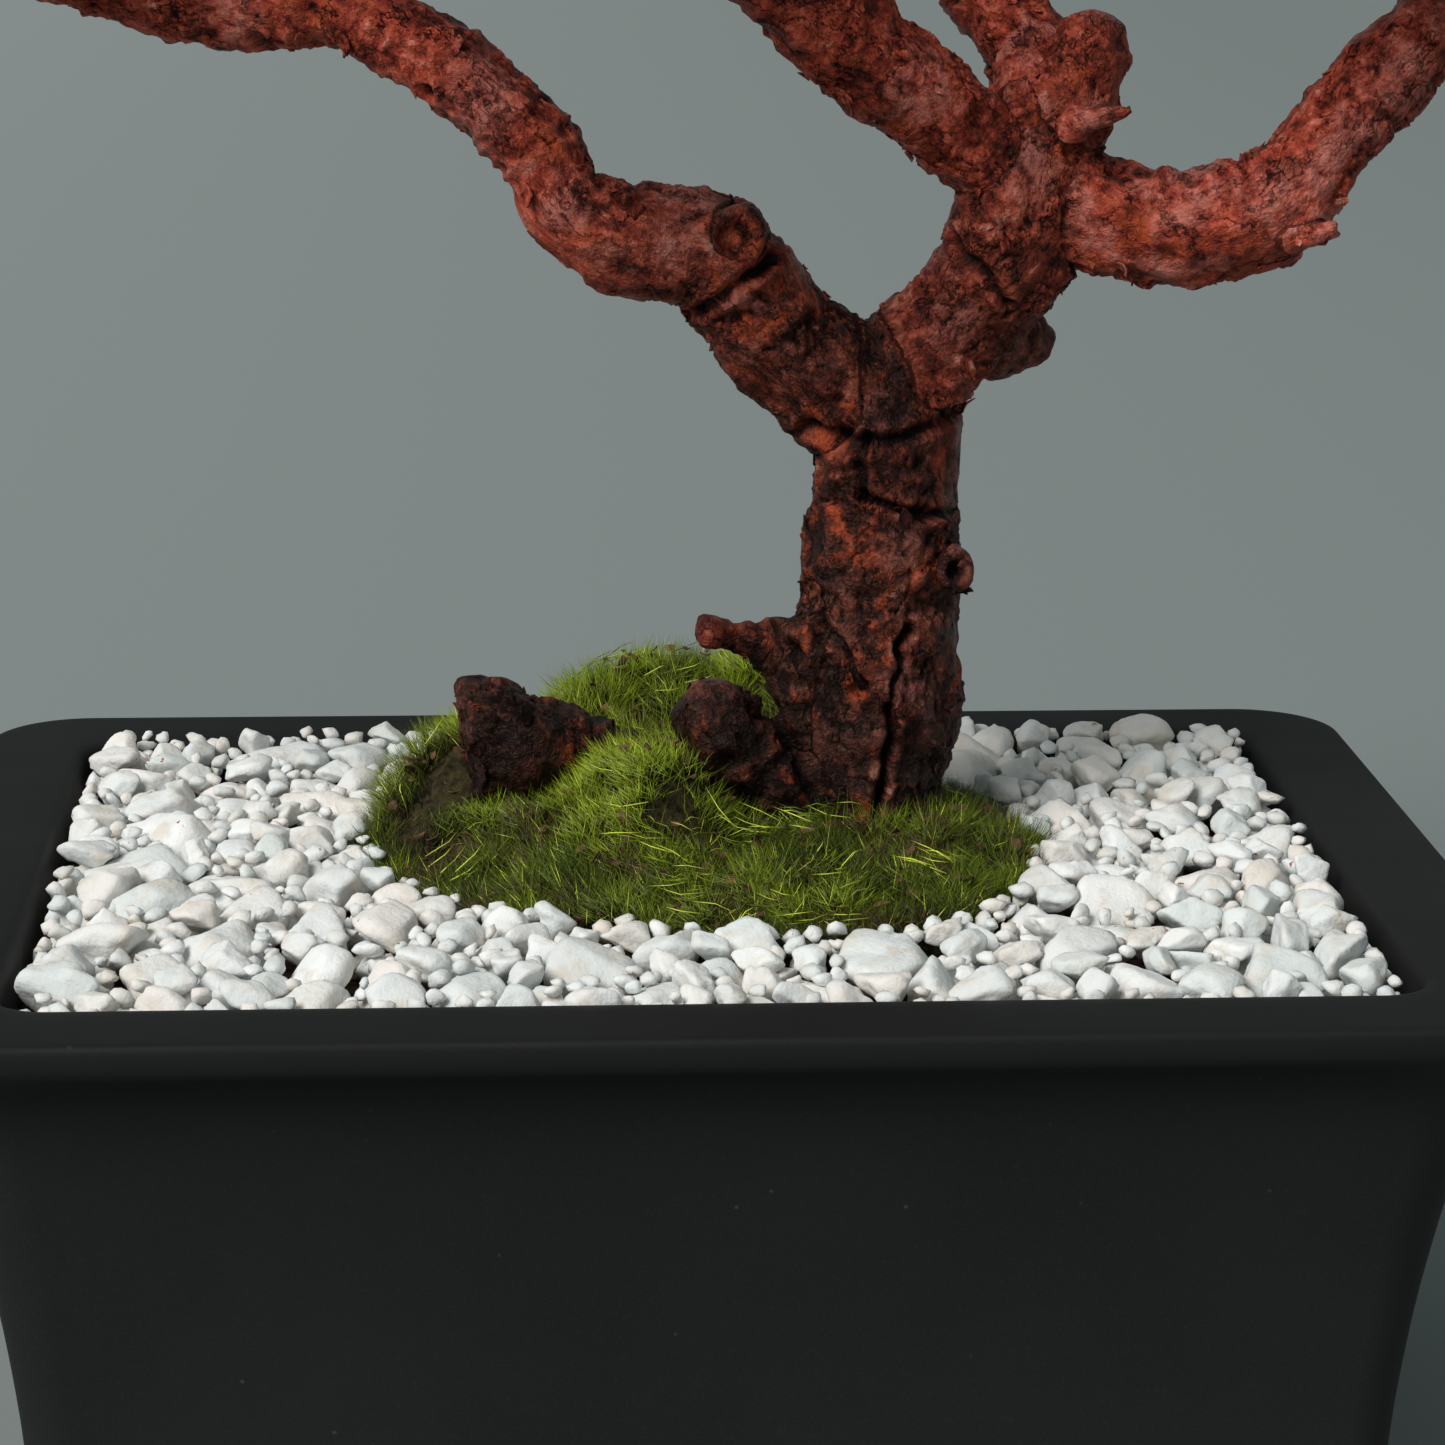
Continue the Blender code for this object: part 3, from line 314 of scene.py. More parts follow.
# Wood. One living tree, trunk, limbs, surface roots and pruned stubs grown together, its foot in
# the soil. The bark flakes in plates on the trunk and wrinkles into rings along the younger limbs.
# Each limb is its middle line as (x, y, z, radius) in mm, as in the solid.
LIMBS_MM = {
    "trunk": (
        (19, 10, 58, 12.3), (18.2, 10, 74, 12.3), (18.6, 10, 83, 11.0), (19.5, 10, 89, 11.0),
        (20.7, 10, 95.8, 11), (21.1, 10, 102.6, 10.1), (21.3, 10, 109, 9.3),
        (21.8, 10, 115.6, 9.8), (22.3, 10, 122, 9.2), (22.2, 10, 129, 9.4), (21, 10, 136, 9.2),
    ),
    "left_limb": (
        (21, 10, 131, 8.6), (15.9, 9, 136.5, 8.2), (9.6, 7, 141.5, 7.4), (3.8, 5, 149.3, 7.2),
        (-0.8, 4, 153.4, 7), (-10.8, 3, 155.7, 6.4), (-16.8, 3, 158.9, 5.7),
        (-20.2, 4, 165.2, 5.1), (-25.3, 5, 171.3, 5.1), (-33.6, 7, 177.4, 4.9),
        (-40.9, 9, 181.4, 4.5), (-47, 10, 182.6, 4.5), (-55.5, 11, 182.2, 4.3),
        (-65.4, 12, 183.2, 3.9), (-73.3, 12, 184.4, 3.5), (-80, 11, 187.5, 3.2), (-88, 8, 192, 3),
        (-95, 4, 196, 2.8),
    ),
    "left_riser": (
        (-49, 10, 183, 3.6), (-52, 12, 190, 3.2), (-55, 13, 197, 2.9), (-57, 14, 203, 2.7),
    ),
    "right_limb": (
        (21.5, 10, 131, 8.8), (25.8, 10, 138.4, 8), (32.1, 9, 144.9, 7.3), (37.3, 8, 152.7, 8.3),
        (39.4, 8, 159.8, 8.9), (41.4, 9, 166.5, 7.4),
    ),
    "rear_bulge": ((34, 12, 141, 5), (38, 17, 140.5, 4.8), (40, 19, 142, 3.6)),
    "front_limb": (
        (38, 7, 162.5, 6.4), (32.3, 5, 166.4, 5.9), (25.9, 2, 172.5, 6.4), (18.9, -1, 177.9, 6.3),
        (12, -4, 183.5, 6), (5, -8, 189.6, 5.2), (-4, -13, 197, 4.4), (-14, -19, 204, 3.8),
        (-21, -23, 211, 3.1),
    ),
    "front_riser": (
        (5, -8, 189.6, 4.6), (0, -4, 201, 4), (-5, 2, 215, 3.5), (-11, 8, 229, 3.1),
        (-15, 11, 239, 2.8),
    ),
    "leader": (
        (41.5, 10, 166, 6.6), (41.5, 16, 173.7, 6), (38.1, 20, 179.6, 5.7), (35, 23, 186.5, 5.3),
        (31, 20, 200, 4.8), (28, 14, 218, 4.3), (24, 8, 238, 3.8), (20, 4, 254, 3.2),
        (18.5, 2.5, 266, 2.8),
    ),
    "leader_knob": (
        (42.5, 8, 167, 6.5), (46.0, 8, 173, 5.2), (47.0, 8, 177.5, 4.4), (47.3, 8, 180.3, 3.5),
        (47.4, 8, 181.8, 1.8),
    ),
    "back_riser": (
        (34.4, 23, 188, 4.2), (33.6, 29, 196, 3.6), (33.8, 36, 203, 3.1), (34, 41, 208, 2.8),
    ),
    "upper_riser": ((29, 15, 213, 3.9), (35, 9, 223, 3.4), (43, 3, 233, 3), (49, -1.5, 241, 2.7)),
    "right_reach": (
        (42, 8, 159, 7.6), (48.5, 6, 156.8, 7.2), (56.1, 4, 155.3, 6.7), (63.8, 2, 156.5, 6.9),
        (69.2, 1, 159, 6.6), (74.6, 1, 165, 5.8), (80, 2, 171.1, 5.5), (85.5, 3, 176.7, 5.5),
        (90, 4, 180.9, 5.1), (96, 5, 187, 4.4), (102, 3, 192, 3.7), (108, 1, 197, 2.9),
    ),
    "right_riser": ((95, 5, 186, 4), (91, 10, 197, 3.5), (85, 16, 207, 3), (81, 19, 214, 2.7)),
    "right_front_riser": (
        (95.5, 4.5, 186.5, 4), (90, -5, 195, 3.5), (79, -15, 204, 3.1), (70, -22, 211, 2.8),
    ),
    "base_stub": (
        (12, 8, 101, 5.2), (7.6, 8, 102.6, 3.7), (4.3, 6, 103.9, 2.3), (1.4, 5, 104.9, 1.8),
        (-1.2, 4, 105.3, 1.6),
    ),
    "buttress": ((13, 8, 105, 5.6), (11.5, 7, 98, 4.6), (11.3, 6, 92, 4.4), (10, 5, 85, 5)),
    "root_knee": (
        (14, 6, 84, 6.6), (8, 4, 86.5, 6.0), (3.4, 2.4, 90.5, 5.7), (0.4, 1.2, 95, 5.5),
        (0, 1, 98.2, 4.2), (0, 1, 100.2, 1.8),
    ),
    "side_root": ((4, 5, 87, 6), (-6, 8, 86, 4.6), (-15, 11, 87.4, 4.4), (-21, 10, 88.6, 5.6)),
    "broken_root": (
        (-17, 11, 88.4, 5.2), (-24, 9, 89.6, 6.8), (-29, 7.5, 90.6, 8), (-31, 7, 90.6, 8),
    ),
    "cut_twig": (
        (43, 4, 167, 2.2), (46, 0, 169.2, 1.25), (49, -2, 169.9, 1.15), (51.4, -3, 170.6, 0.9),
    ),
    "thorn": ((68, -2, 156.5, 3), (72.2, -4, 155.4, 1.5), (76, -5, 156.4, 1)),
    "bark_burl": ((26, 8, 113, 4), (29.4, 5.4, 113.2, 2.8), (30.8, 2.8, 113.3, 2.3)),
    "limb_scar": ((3.5, 4, 155, 4.4), (3.4, -1.5, 156, 3.2)),
}
# Scars and knots: (x, y, z), the ring's radius, its swelling, its hollow, and the red heart's share
KNOTS_MM = (
    (9.2, 1, 103, 2.3, 0.7, 1.6, 0.3),
    (3.4, -3.5, 156.2, 3.0, 0.9, 1.6, 1.0),
    (19.9, 2.5, 139.9, 2.2, 0.4, 0.8, 0.3),
    (44.9, 1, 165.3, 2.0, 0.7, 1.0, 1.0),
    (-33.4, 3, 173.2, 1.6, 0.6, 1.6, 0.0),
    (56, -2, 153, 2.4, 0.5, 0.8, 0.5),
    (30.5, -1, 151, 2.6, 0.5, 0.9, 0.4),
    (-10, -3, 152.5, 2.2, 0.4, 0.8, 0.4),
    (1.5, -5, 90, 2.6, 0.6, 1.0, 0.3),
    (31.3, 1.4, 113.2, 1.9, 0.5, 2.6, 0.0),
    (19.8, 0, 118.6, 1.3, 0.5, 0.3, 0.5),
    (62, -4, 158.6, 2.8, 0.5, 0.6, 0.0),
)
# Long splits in the bark: the (x, z) points that each runs through, its width and its depth
SPLITS_MM = (
    (((24.3, 106), (23.2, 101), (22.6, 97.5), (22.4, 92), (20.9, 86), (20.4, 80)), 0.55, 2.1),
    (((18.5, 122.8), (22, 122), (26, 120.6), (31.5, 119.2)), 0.6, 1.5),
    (((19.5, 131), (18.6, 127), (18.8, 123)), 0.5, 1.1),
    (((12.5, 108), (15, 104.5), (17.6, 102), (18.6, 99)), 0.8, 1.7),
    (((8.3, 152.6), (4.5, 150.5), (1.6, 148.4), (-1, 146.5)), 0.8, 1.6),
    (((5.6, 98), (7.6, 94), (10.5, 91), (12, 86)), 0.9, 1.8),
    (((12.5, 131.5), (18, 129.5), (25, 130.5), (31.5, 133)), 0.9, 1.3),
    (((37, 147), (33.5, 150.5), (31, 155)), 0.6, 1.0),
)
# Large curls of bark that stand off: the place of each, its size and the way it rolls
CURLS_MM = (
    ((10.9, 3, 111.6), 3.0, (-0.7, -0.6, 0.4)), ((12.2, 2, 109.2), 2.4, (-0.9, -0.4, 0.1)),
    ((15.6, -1.5, 101.0), 2.8, (0.6, -0.7, 0.4)), ((9.0, -1.5, 96.6), 3.0, (-0.3, -0.9, -0.3)),
    ((6.2, -1, 99.8), 2.2, (-0.5, -0.8, 0.2)), ((31.4, 3, 118.6), 2.6, (0.9, -0.3, 0.3)),
    ((31.6, 5, 109.8), 2.2, (0.8, -0.4, -0.4)), ((24.6, -0.5, 119.7), 3.0, (0.1, -0.8, 0.6)),
    ((17.4, 0, 124.4), 2.4, (-0.3, -0.8, 0.5)), ((15.2, -7, 169.4), 3.2, (-0.2, -0.6, -0.8)),
    ((26.0, -4.5, 166.8), 2.4, (0.1, -0.7, -0.7)), ((-8.5, -3.5, 160.4), 2.8, (-0.2, -0.6, 0.8)),
    ((-21.4, -1, 161.2), 2.6, (-0.5, -0.8, -0.2)), ((-30.2, 1, 179.2), 2.6, (0.2, -0.5, 0.8)),
    ((-44, 5, 178.6), 2.8, (-0.1, -0.7, -0.7)), ((-52, 6.5, 186.0), 2.4, (0.1, -0.5, 0.8)),
    ((50.4, -1.5, 150.4), 2.8, (0.0, -0.7, -0.7)), ((70.4, -5.5, 163.4), 2.6, (-0.3, -0.8, 0.6)),
    ((86.4, -2.5, 171.8), 2.6, (0.3, -0.8, -0.5)), ((36.0, -1, 154.6), 2.8, (-0.4, -0.9, 0.1)),
    ((33.2, 1, 138.4), 2.6, (0.5, -0.8, -0.3)), ((4.2, -5.4, 93.8), 2.4, (-0.3, -0.9, 0.4)),
    ((-22.4, 1.8, 96.2), 2.6, (0.0, -0.6, 0.8)), ((-30.6, -1.4, 92.6), 2.4, (-0.4, -0.8, 0.3)),
)
# Faces of the broken root's end: a point in mm on each, and the way it faces
BROKEN_FACES_MM = (
    ((-32.4, 4, 93.2), (-0.94, -0.2, 0.3)),
    ((-30, 6, 97.7), (0.1, -0.12, 0.98)),
    ((-31.5, 3, 86), (-0.6, -0.35, -0.72)),
    ((-27, 0.6, 91), (0.05, -0.97, 0.22)),
    ((-20, 6, 94.4), (0.45, -0.2, 0.87)),
)
# How fresh and red each limb's bark is; the rest is old and dark
FRESH = {
    "left_limb": 0.8, "right_reach": 0.95, "front_limb": 0.85, "front_riser": 0.6,
    "right_limb": 0.34, "leader": 0.5, "leader_knob": 0.45, "right_riser": 0.8,
    "right_front_riser": 0.8, "left_riser": 0.8, "base_stub": -0.1, "cut_twig": 0.7, "thorn": 1.0,
}
# Patches of the bark by kind, smooth pink, rusty ember or dark: where, and how far each reaches.
# The dark ones are partly dark bark and partly painted shadow, under the fork and round the root knee.
PATCHES_MM = {
    "pink": (
        (15.4, 1, 110.5, 3.2), (15.6, 1, 106.5, 2.8), (20, -3, 94, 3.0), (23.8, 0, 116.9, 3.4),
        (47.7, 0, 169.5, 3.4), (68.5, -4, 159.5, 4.6), (58.4, -3, 160.8, 3.0), (74, -4, 156, 2.8),
        (83.3, -3, 173.7, 4.4), (90.5, -1, 181.5, 4.0), (78.0, -4, 167.5, 3.2),
        (26, -5, 173.5, 4.5), (-27, 1, 172.5, 4.6), (-16.6, -2, 160.6, 3.6), (-4, -3, 156, 3.2),
        (30.3, 1, 143.6, 3.6), (-58, 6, 182, 4.0),
    ),
    "ember": (
        (14.1, 3, 128.8, 3.0), (14.3, 3, 118.4, 3.4), (18.6, 0, 117.7, 3.2), (27, 2, 112.3, 2.8),
        (50, -2, 156, 5.4), (57.3, -3, 153, 4.2), (66, -4, 154, 3.6), (45.3, 2, 164.9, 1.8),
        (24.7, -4, 170.9, 2.8), (14.1, -8, 176.6, 4.4), (-20, 0, 166.3, 3.6),
        (-12.9, -2, 154.3, 4.0), (-49, 5, 181.8, 5.0), (27.9, 2, 132.1, 2.2), (-33, 2, 88.4, 3.2),
        (-30.6, 2, 96.6, 2.2), (-17, 4, 91, 3.0), (7.6, -1.6, 97.8, 1.8), (-2.0, 2, 105, 1.6),
        (51.6, -3, 170.6, 1.5), (22.6, 0, 125.0, 1.6), (31, 3, 126.5, 2.2), (28.6, 1, 104, 2.6),
    ),
    "dark": (
        (23.8, 0, 130.9, 4.2), (26.5, 1, 126, 3.0), (19.3, 0, 123.7, 2.2), (8, 1, 93, 4.6),
        (14, 0, 98, 2.6), (11.5, 2, 89, 4.2), (0, -4, 96, 6.4), (5, -3, 86, 6.4),
        (-1.2, 3, 105.5, 2.6), (5, 4, 98, 3.6), (1, 0, 101, 3.0), (12, 0, 94, 4.0),
        (26, 1, 90, 3.4), (-4, -2, 95, 4.0), (29, 2, 95, 3.6), (-26, 2, 92, 7.0),
        (-24, 1, 86, 4.0), (37.6, 0, 167.6, 4.6), (8.5, 1, 151, 3.4),
    ),
}
# The tree and its moss were laid out square to the view; as one they are turned to the pot
PLANTED_PLACE = Vector((4.1, 0.8, 0)) * MM
PLANTED_TURN = math.radians(-2.85)
PLANTED_LEAN = math.radians(-1.02)
ON_GROUND = Matrix.Translation(PLANTED_PLACE) @ Matrix.Rotation(PLANTED_TURN, 4, "Z")
PLANTED = ON_GROUND @ Matrix.Rotation(PLANTED_LEAN, 4, "Y")
LIMB_STEPS = 10
LIMB_SIDES = 28
WOOD_VOXEL = 0.38 * MM
WOOD_FACES = 194000
TUBE_EASING = 4
ROOT_END_X = -15 * MM
ROOT_END_Z = (80 * MM, 105 * MM)
FACE_CRUMBLE = (0.5 * MM, 2.4 * MM)
CREVICE_EASING = 22
CREVICE_DEPTH = 1.7
RING_LIMB = 5.0
PLATE_LIMB = 9.0
SOIL_LINE = 76 * MM
OLD_BARK = -0.04
LEFT_LIMB_FRESH_X = (-2 * MM, 26 * MM)
FRESHER_ABOVE_Z = (98 * MM, 106 * MM)
DARKER_BELOW_Z = (-103 * MM, -92 * MM)
FLAKES = 900
FLAKE_SIZE = (0.7 * MM, 1.9 * MM)
FLAKE_THICK = 0.16 * MM
FLAKE_LIFT = (0.0, 0.3)
FLAKE_CURL = 0.35
FLAKE_POINTS = 14
PEEL_ROWS = 7
PEEL_COLUMNS = 6
PEEL_FACE_POINTS = PEEL_ROWS * PEEL_COLUMNS
PEEL_THICK = 0.28 * MM
BARK_VALUES = ("depth", "tone", "raw", "pink", "ember", "dark", "red")
# The bark's colours from its crevices to its high spots, darker in the crevices as painted shade:
# stops of (value, colour), or a pair
OLD_RAMP = (
    (0.0, (0.003, 0.0025, 0.0025)), (0.28, (0.0105, 0.0050, 0.0040)),
    (0.48, (0.033, 0.0110, 0.0068)), (0.64, (0.090, 0.0225, 0.0125)),
    (0.80, (0.185, 0.0520, 0.0300)), (1.0, (0.330, 0.160, 0.120)),
)
YOUNG_RAMP = (
    (0.0, (0.022, 0.0045, 0.0035)), (0.24, (0.125, 0.0160, 0.0095)),
    (0.46, (0.340, 0.0460, 0.0245)), (0.64, (0.550, 0.0900, 0.0480)),
    (0.80, (0.680, 0.165, 0.110)), (1.0, (0.740, 0.370, 0.310)),
)
WEATHERED_GREY = (0.012, 0.008, 0.0075), (0.220, 0.134, 0.112)
EMBER_RED = (0.120, 0.0110, 0.0045), (0.520, 0.082, 0.024)
SMOOTH_SKIN = (0.160, 0.054, 0.040), (0.630, 0.215, 0.175)
HEART_RED = (0.160, 0.0180, 0.008), (0.520, 0.120, 0.050)
CREVICE_SHADE_BLACK = (0.0045, 0.0032, 0.003)
WARM_SHEEN = (1.0, 0.62, 0.54, 1.0)


def shuffled(cells, seed):
    """A fixed shuffle of whole-number cells into values from 0 to 1."""
    stirred = cells[..., 0] * 374761393 + cells[..., 1] * 668265263 + cells[..., 2] * 1440662683
    stirred = stirred + seed * 974634777
    for shift in (13, 15):
        stirred = (stirred ^ (stirred >> shift)) * 1274126177
    return ((stirred >> 9) & 0xFFFFFF) / 0xFFFFFF


def rolling(points, size, seed):
    """Smooth noise from -1 to 1, in bumps about one size wide."""
    scaled = points / size
    cell = np.floor(scaled).astype(np.int64)
    t = scaled - cell
    t = t * t * t * (t * (t * 6 - 15) + 10)
    summed = np.zeros(len(points))
    for corner in pairings((0, 1), repeat=3):
        share = np.prod(np.where(corner, t, 1 - t), axis=1)
        summed += share * shuffled(cell + np.array(corner), seed)
    return 2 * summed - 1


def between(p0, p1, p2, p3, t):
    """A point from p1 to p2 on the smooth line through four points."""
    bend = 2 * p1 + (p2 - p0) * t
    bend = bend + (2 * p0 - 5 * p1 + 4 * p2 - p3) * t**2 + (3 * p1 - p0 - 3 * p2 + p3) * t**3
    return bend / 2


def smooth_line(points, steps):
    """Points read evenly from the smooth line through the given ones."""
    points = np.array(points, float)
    last = len(points) - 1
    line = []
    for i in range(last):
        near = [points[max(0, min(last, i + k))] for k in (-1, 0, 1, 2)]
        line += [between(*near, step / steps) for step in range(steps)]
    return np.array(line + [points[-1]])


def limb_route(points_mm, steps):
    """A limb's middle line in metres, with its radius, direction, side and length so far."""
    line = smooth_line(points_mm, steps) * MM
    places, radii = line[:, :3], line[:, 3]
    along = np.gradient(places, axis=0)
    along /= np.linalg.norm(along, axis=1)[:, None]
    side = np.cross(along[0], (0.3, 1.0, 0.2))
    sides = []
    for direction in along:
        side = side - direction * (side @ direction)
        side = side / np.linalg.norm(side)
        sides.append(side)
    length = np.concatenate([[0], np.cumsum(np.linalg.norm(np.diff(places, axis=0), axis=1))])
    return places, radii, along, np.array(sides), length


def limb_tube(route, sides_round=LIMB_SIDES):
    """A round tube along a route, closed at both ends."""
    places, radii, along, sides, _ = route
    turn = np.linspace(0, math.tau, sides_round, endpoint=False)
    others = np.cross(along, sides)
    rings = []
    for place, radius, side, other in zip(places, radii, sides, others):
        ring = np.outer(np.cos(turn), side) + np.outer(np.sin(turn), other)
        rings.append(place + radius * ring)
    return loft(rings)


def unit(ways):
    """Ways, one to a row, each made one long."""
    return ways / np.linalg.norm(ways, axis=1)[:, None]


def mesh_points(mesh):
    """A mesh's points, one to a row."""
    points = np.empty(len(mesh.vertices) * 3, np.float32)
    mesh.vertices.foreach_get("co", points)
    return points.reshape(-1, 3).astype(float)


def mesh_normals(mesh):
    """The way that a mesh faces at each of its points."""
    normals = np.empty(len(mesh.vertices) * 3, np.float32)
    mesh.vertices.foreach_get("normal", normals)
    return normals.reshape(-1, 3).astype(float)


def move_points(mesh, points):
    """Set a mesh's points to new places."""
    mesh.vertices.foreach_set("co", points.astype(np.float32).ravel())
    mesh.update()


def eased(mesh, values, times):
    """Values on a mesh's points, each drawn towards its neighbours some times."""
    edges = np.empty(len(mesh.edges) * 2, np.int32)
    mesh.edges.foreach_get("vertices", edges)
    a, b = edges.reshape(-1, 2).T
    values = values.reshape(len(mesh.vertices), -1)
    count = np.bincount(a, minlength=len(values)) + np.bincount(b, minlength=len(values))
    for _ in range(times):
        columns = []
        for column in values.T:
            near = np.bincount(a, column[b], len(values)) + np.bincount(b, column[a], len(values))
            columns.append((column + near / np.maximum(count, 1)) / 2)
        values = np.column_stack(columns)
    return values


def straightened(points, routes):
    """Each point in its nearest limb's own straight space, with the limb's radius there."""
    places = np.concatenate([route[0] for route in routes])
    radii = np.concatenate([route[1] for route in routes])
    along = np.concatenate([route[2] for route in routes])
    sides = np.concatenate([route[3] for route in routes])
    length = np.concatenate([route[4] + 0.3 * i for i, route in enumerate(routes)])
    limb = np.concatenate([np.full(len(route[0]), i) for i, route in enumerate(routes)])
    nearest = []
    for block in np.array_split(points, max(1, len(points) // 4000)):
        away = (block**2).sum(1)[:, None] + (places**2).sum(1) - 2 * block @ places.T
        nearest.append((np.sqrt(np.maximum(away, 0)) - radii).argmin(1))
    nearest = np.concatenate(nearest)
    out = points - places[nearest]
    ahead = (out * along[nearest]).sum(1)
    others = np.cross(along, sides)
    x = (out * sides[nearest]).sum(1)
    y = (out * others[nearest]).sum(1)
    straight = np.column_stack([x, y, length[nearest] + ahead])
    return straight, radii[nearest], limb[nearest]


def cells(points, size, seed):
    """Cells about one size wide: the gap to the next, the cell's value, the way from its middle."""
    scaled = points / size
    base = np.floor(scaled).astype(np.int64)
    nearest = np.full(len(points), 9.0)
    second = np.full(len(points), 9.0)
    value = np.zeros(len(points))
    way = np.zeros((len(points), 3))
    for offset in pairings((-1, 0, 1), repeat=3):
        cell = base + np.array(offset)
        middle = cell + np.column_stack([shuffled(cell, seed + k) for k in range(3)])
        out = scaled - middle
        away = np.sqrt((out**2).sum(1))
        closer = away < nearest
        second = np.where(closer, nearest, np.minimum(second, away))
        nearest = np.where(closer, away, nearest)
        value = np.where(closer, shuffled(cell, seed + 7), value)
        way = np.where(closer[:, None], out, way)
    return second - nearest, value, way


def stepped(value, low, high):
    """0 below low and 1 above high, eased between."""
    t = np.clip((value - low) / (high - low), 0, 1)
    return t * t * (3 - 2 * t)


def off_line(x, z, points):
    """How far points (x, z) lie from a broken line."""
    nearest = np.full(len(x), np.inf)
    for (ax, az), (bx, bz) in zip(points, points[1:]):
        ux, uz = bx - ax, bz - az
        t = np.clip(((x - ax) * ux + (z - az) * uz) / (ux * ux + uz * uz), 0, 1)
        nearest = np.minimum(nearest, np.hypot(x - ax - t * ux, z - az - t * uz))
    return nearest


def bark_relief(points, straight, radius):
    """Every point's height in mm, with what its colour needs: plate tone, raw scar and patches."""
    s = straight / MM
    p = points / MM
    plated = stepped(radius / MM, RING_LIMB, PLATE_LIMB)
    bend = [rolling(s, 3.4, 40 + k) + 0.5 * rolling(s, 1.3, 45 + k) for k in range(3)]
    bend = np.column_stack(bend)
    lumps = 0.75 * rolling(s, 8.5, 1) + 0.55 * rolling(s, 3.9, 2) + 0.38 * rolling(s, 2.0, 4)
    broken = stepped(rolling(s, 9.0, 3) + 0.5 * rolling(s, 4.0, 5), -0.4, 0.3)

    plate_gap, plate_tone, plate_way = cells(s * (1, 1, 0.75) + bend * 1.7, 5.4, 11)
    lift = plate_way @ np.array([0.4, -0.3, 0.9])
    plated_rise = 0.6 * (plate_tone - 0.5) + 0.7 * lift - 0.7 * np.exp(-((plate_gap / 0.06) ** 2))

    flake_gap, flake_tone, flake_way = cells(s * (1, 1, 0.9) + bend * 1.1, 2.3, 21)
    curl = flake_way @ np.array([0.5, 0.5, 0.7])
    flaked_rise = 0.5 * (flake_tone - 0.5) + 0.45 * curl - 0.25 * np.exp(-((flake_gap / 0.1) ** 2))

    ringed = s * (0.2, 0.2, 1) + bend * (0.3, 0.3, 0.6)
    rings = 1 - 2 * np.abs(rolling(ringed, 2.5, 31))
    fine_rings = 1 - 2 * np.abs(rolling(ringed, 1.1, 33))
    fibres = 1 - 2 * np.abs(rolling(s * (1, 1, 0.3) + 0.4 * bend, 1.2, 35))

    height = lumps + plated_rise * (0.15 + 0.6 * plated) * (0.3 + 0.7 * broken)
    height = height + 0.66 * flaked_rise * broken
    height = height + (0.34 * rings + 0.15 * fine_rings) * (1 - 0.7 * plated)
    height = height + 0.16 * fibres * plated + 0.17 * rolling(s, 1.0, 51)

    raw = np.zeros(len(p))
    for x, y, z, size, swell, sink, heart in KNOTS_MM:
        seat = p[np.linalg.norm(p - (x, y, z), axis=1).argmin()]
        away = np.linalg.norm(p - seat, axis=1)
        close = np.exp(-((away / (1.9 * size)) ** 4))
        height = height * (1 - 0.6 * close)
        height = height + swell * np.exp(-(((away - size) / (0.42 * size)) ** 2))
        height = height - sink * np.exp(-((away / (0.62 * size)) ** 2))
        raw = np.maximum(raw, heart * np.exp(-((away / (0.5 * size)) ** 4)))
    front = stepped(-p[:, 1], -11.0, -8.0)
    for line, width, depth in SPLITS_MM:
        wander = 0.7 * rolling(p, 2.6, 61)
        away = off_line(p[:, 0] + wander, p[:, 2] + wander, line)
        height = height - depth * front * np.exp(-((away / width) ** 2))
        height = height + 0.45 * front * np.exp(-(((away - 1.9 * width) / width) ** 2))
    seen = {
        "pink": stepped(rolling(s, 8.0, 71) + 0.5 * rolling(s, 3.2, 72), 0.42, 0.7),
        "ember": stepped(rolling(s, 7.0, 75) + 0.5 * rolling(s, 3.0, 76), 0.38, 0.62),
        "dark": stepped(rolling(s, 9.0, 78) + 0.5 * rolling(s, 3.6, 79), 0.46, 0.78),
    }
    seen["dark"] = seen["dark"] * (0.3 + 0.7 * plated)
    ragged = 1.4 * rolling(p, 3.0, 85) + 0.7 * rolling(p, 1.3, 86)
    for kind, patches in PATCHES_MM.items():
        for x, y, z, size in patches:
            away = np.maximum(np.linalg.norm(p - (x, y, z), axis=1) + ragged, 0)
            seen[kind] = np.maximum(seen[kind], np.exp(-((away / size) ** 4)))
    height = height * (1 - 0.35 * seen["pink"])
    tone = 0.5 * flake_tone + 0.5 * plate_tone
    fade = stepped(points[:, 2], SOIL_LINE - 4 * MM, SOIL_LINE + 4 * MM)
    return height * fade, tone, raw, seen["pink"], seen["ember"], seen["dark"]


def add_values(mesh, **values):
    """Values kept on a mesh's points for its finish to read."""
    for name, value in values.items():
        kept = mesh.attributes.new(name, "FLOAT", "POINT")
        kept.data.foreach_set("value", np.asarray(value, np.float32))


def many_alike(name, points, faces):
    """One mesh of many like pieces: the points of each, and the faces that each has."""
    faces = np.array(faces)[None] + points.shape[1] * np.arange(len(points))[:, None, None]
    mesh = bpy.data.meshes.new(name)
    mesh.from_pydata(points.reshape(-1, 3), [], faces.reshape(-1, faces.shape[-1]))
    return mesh


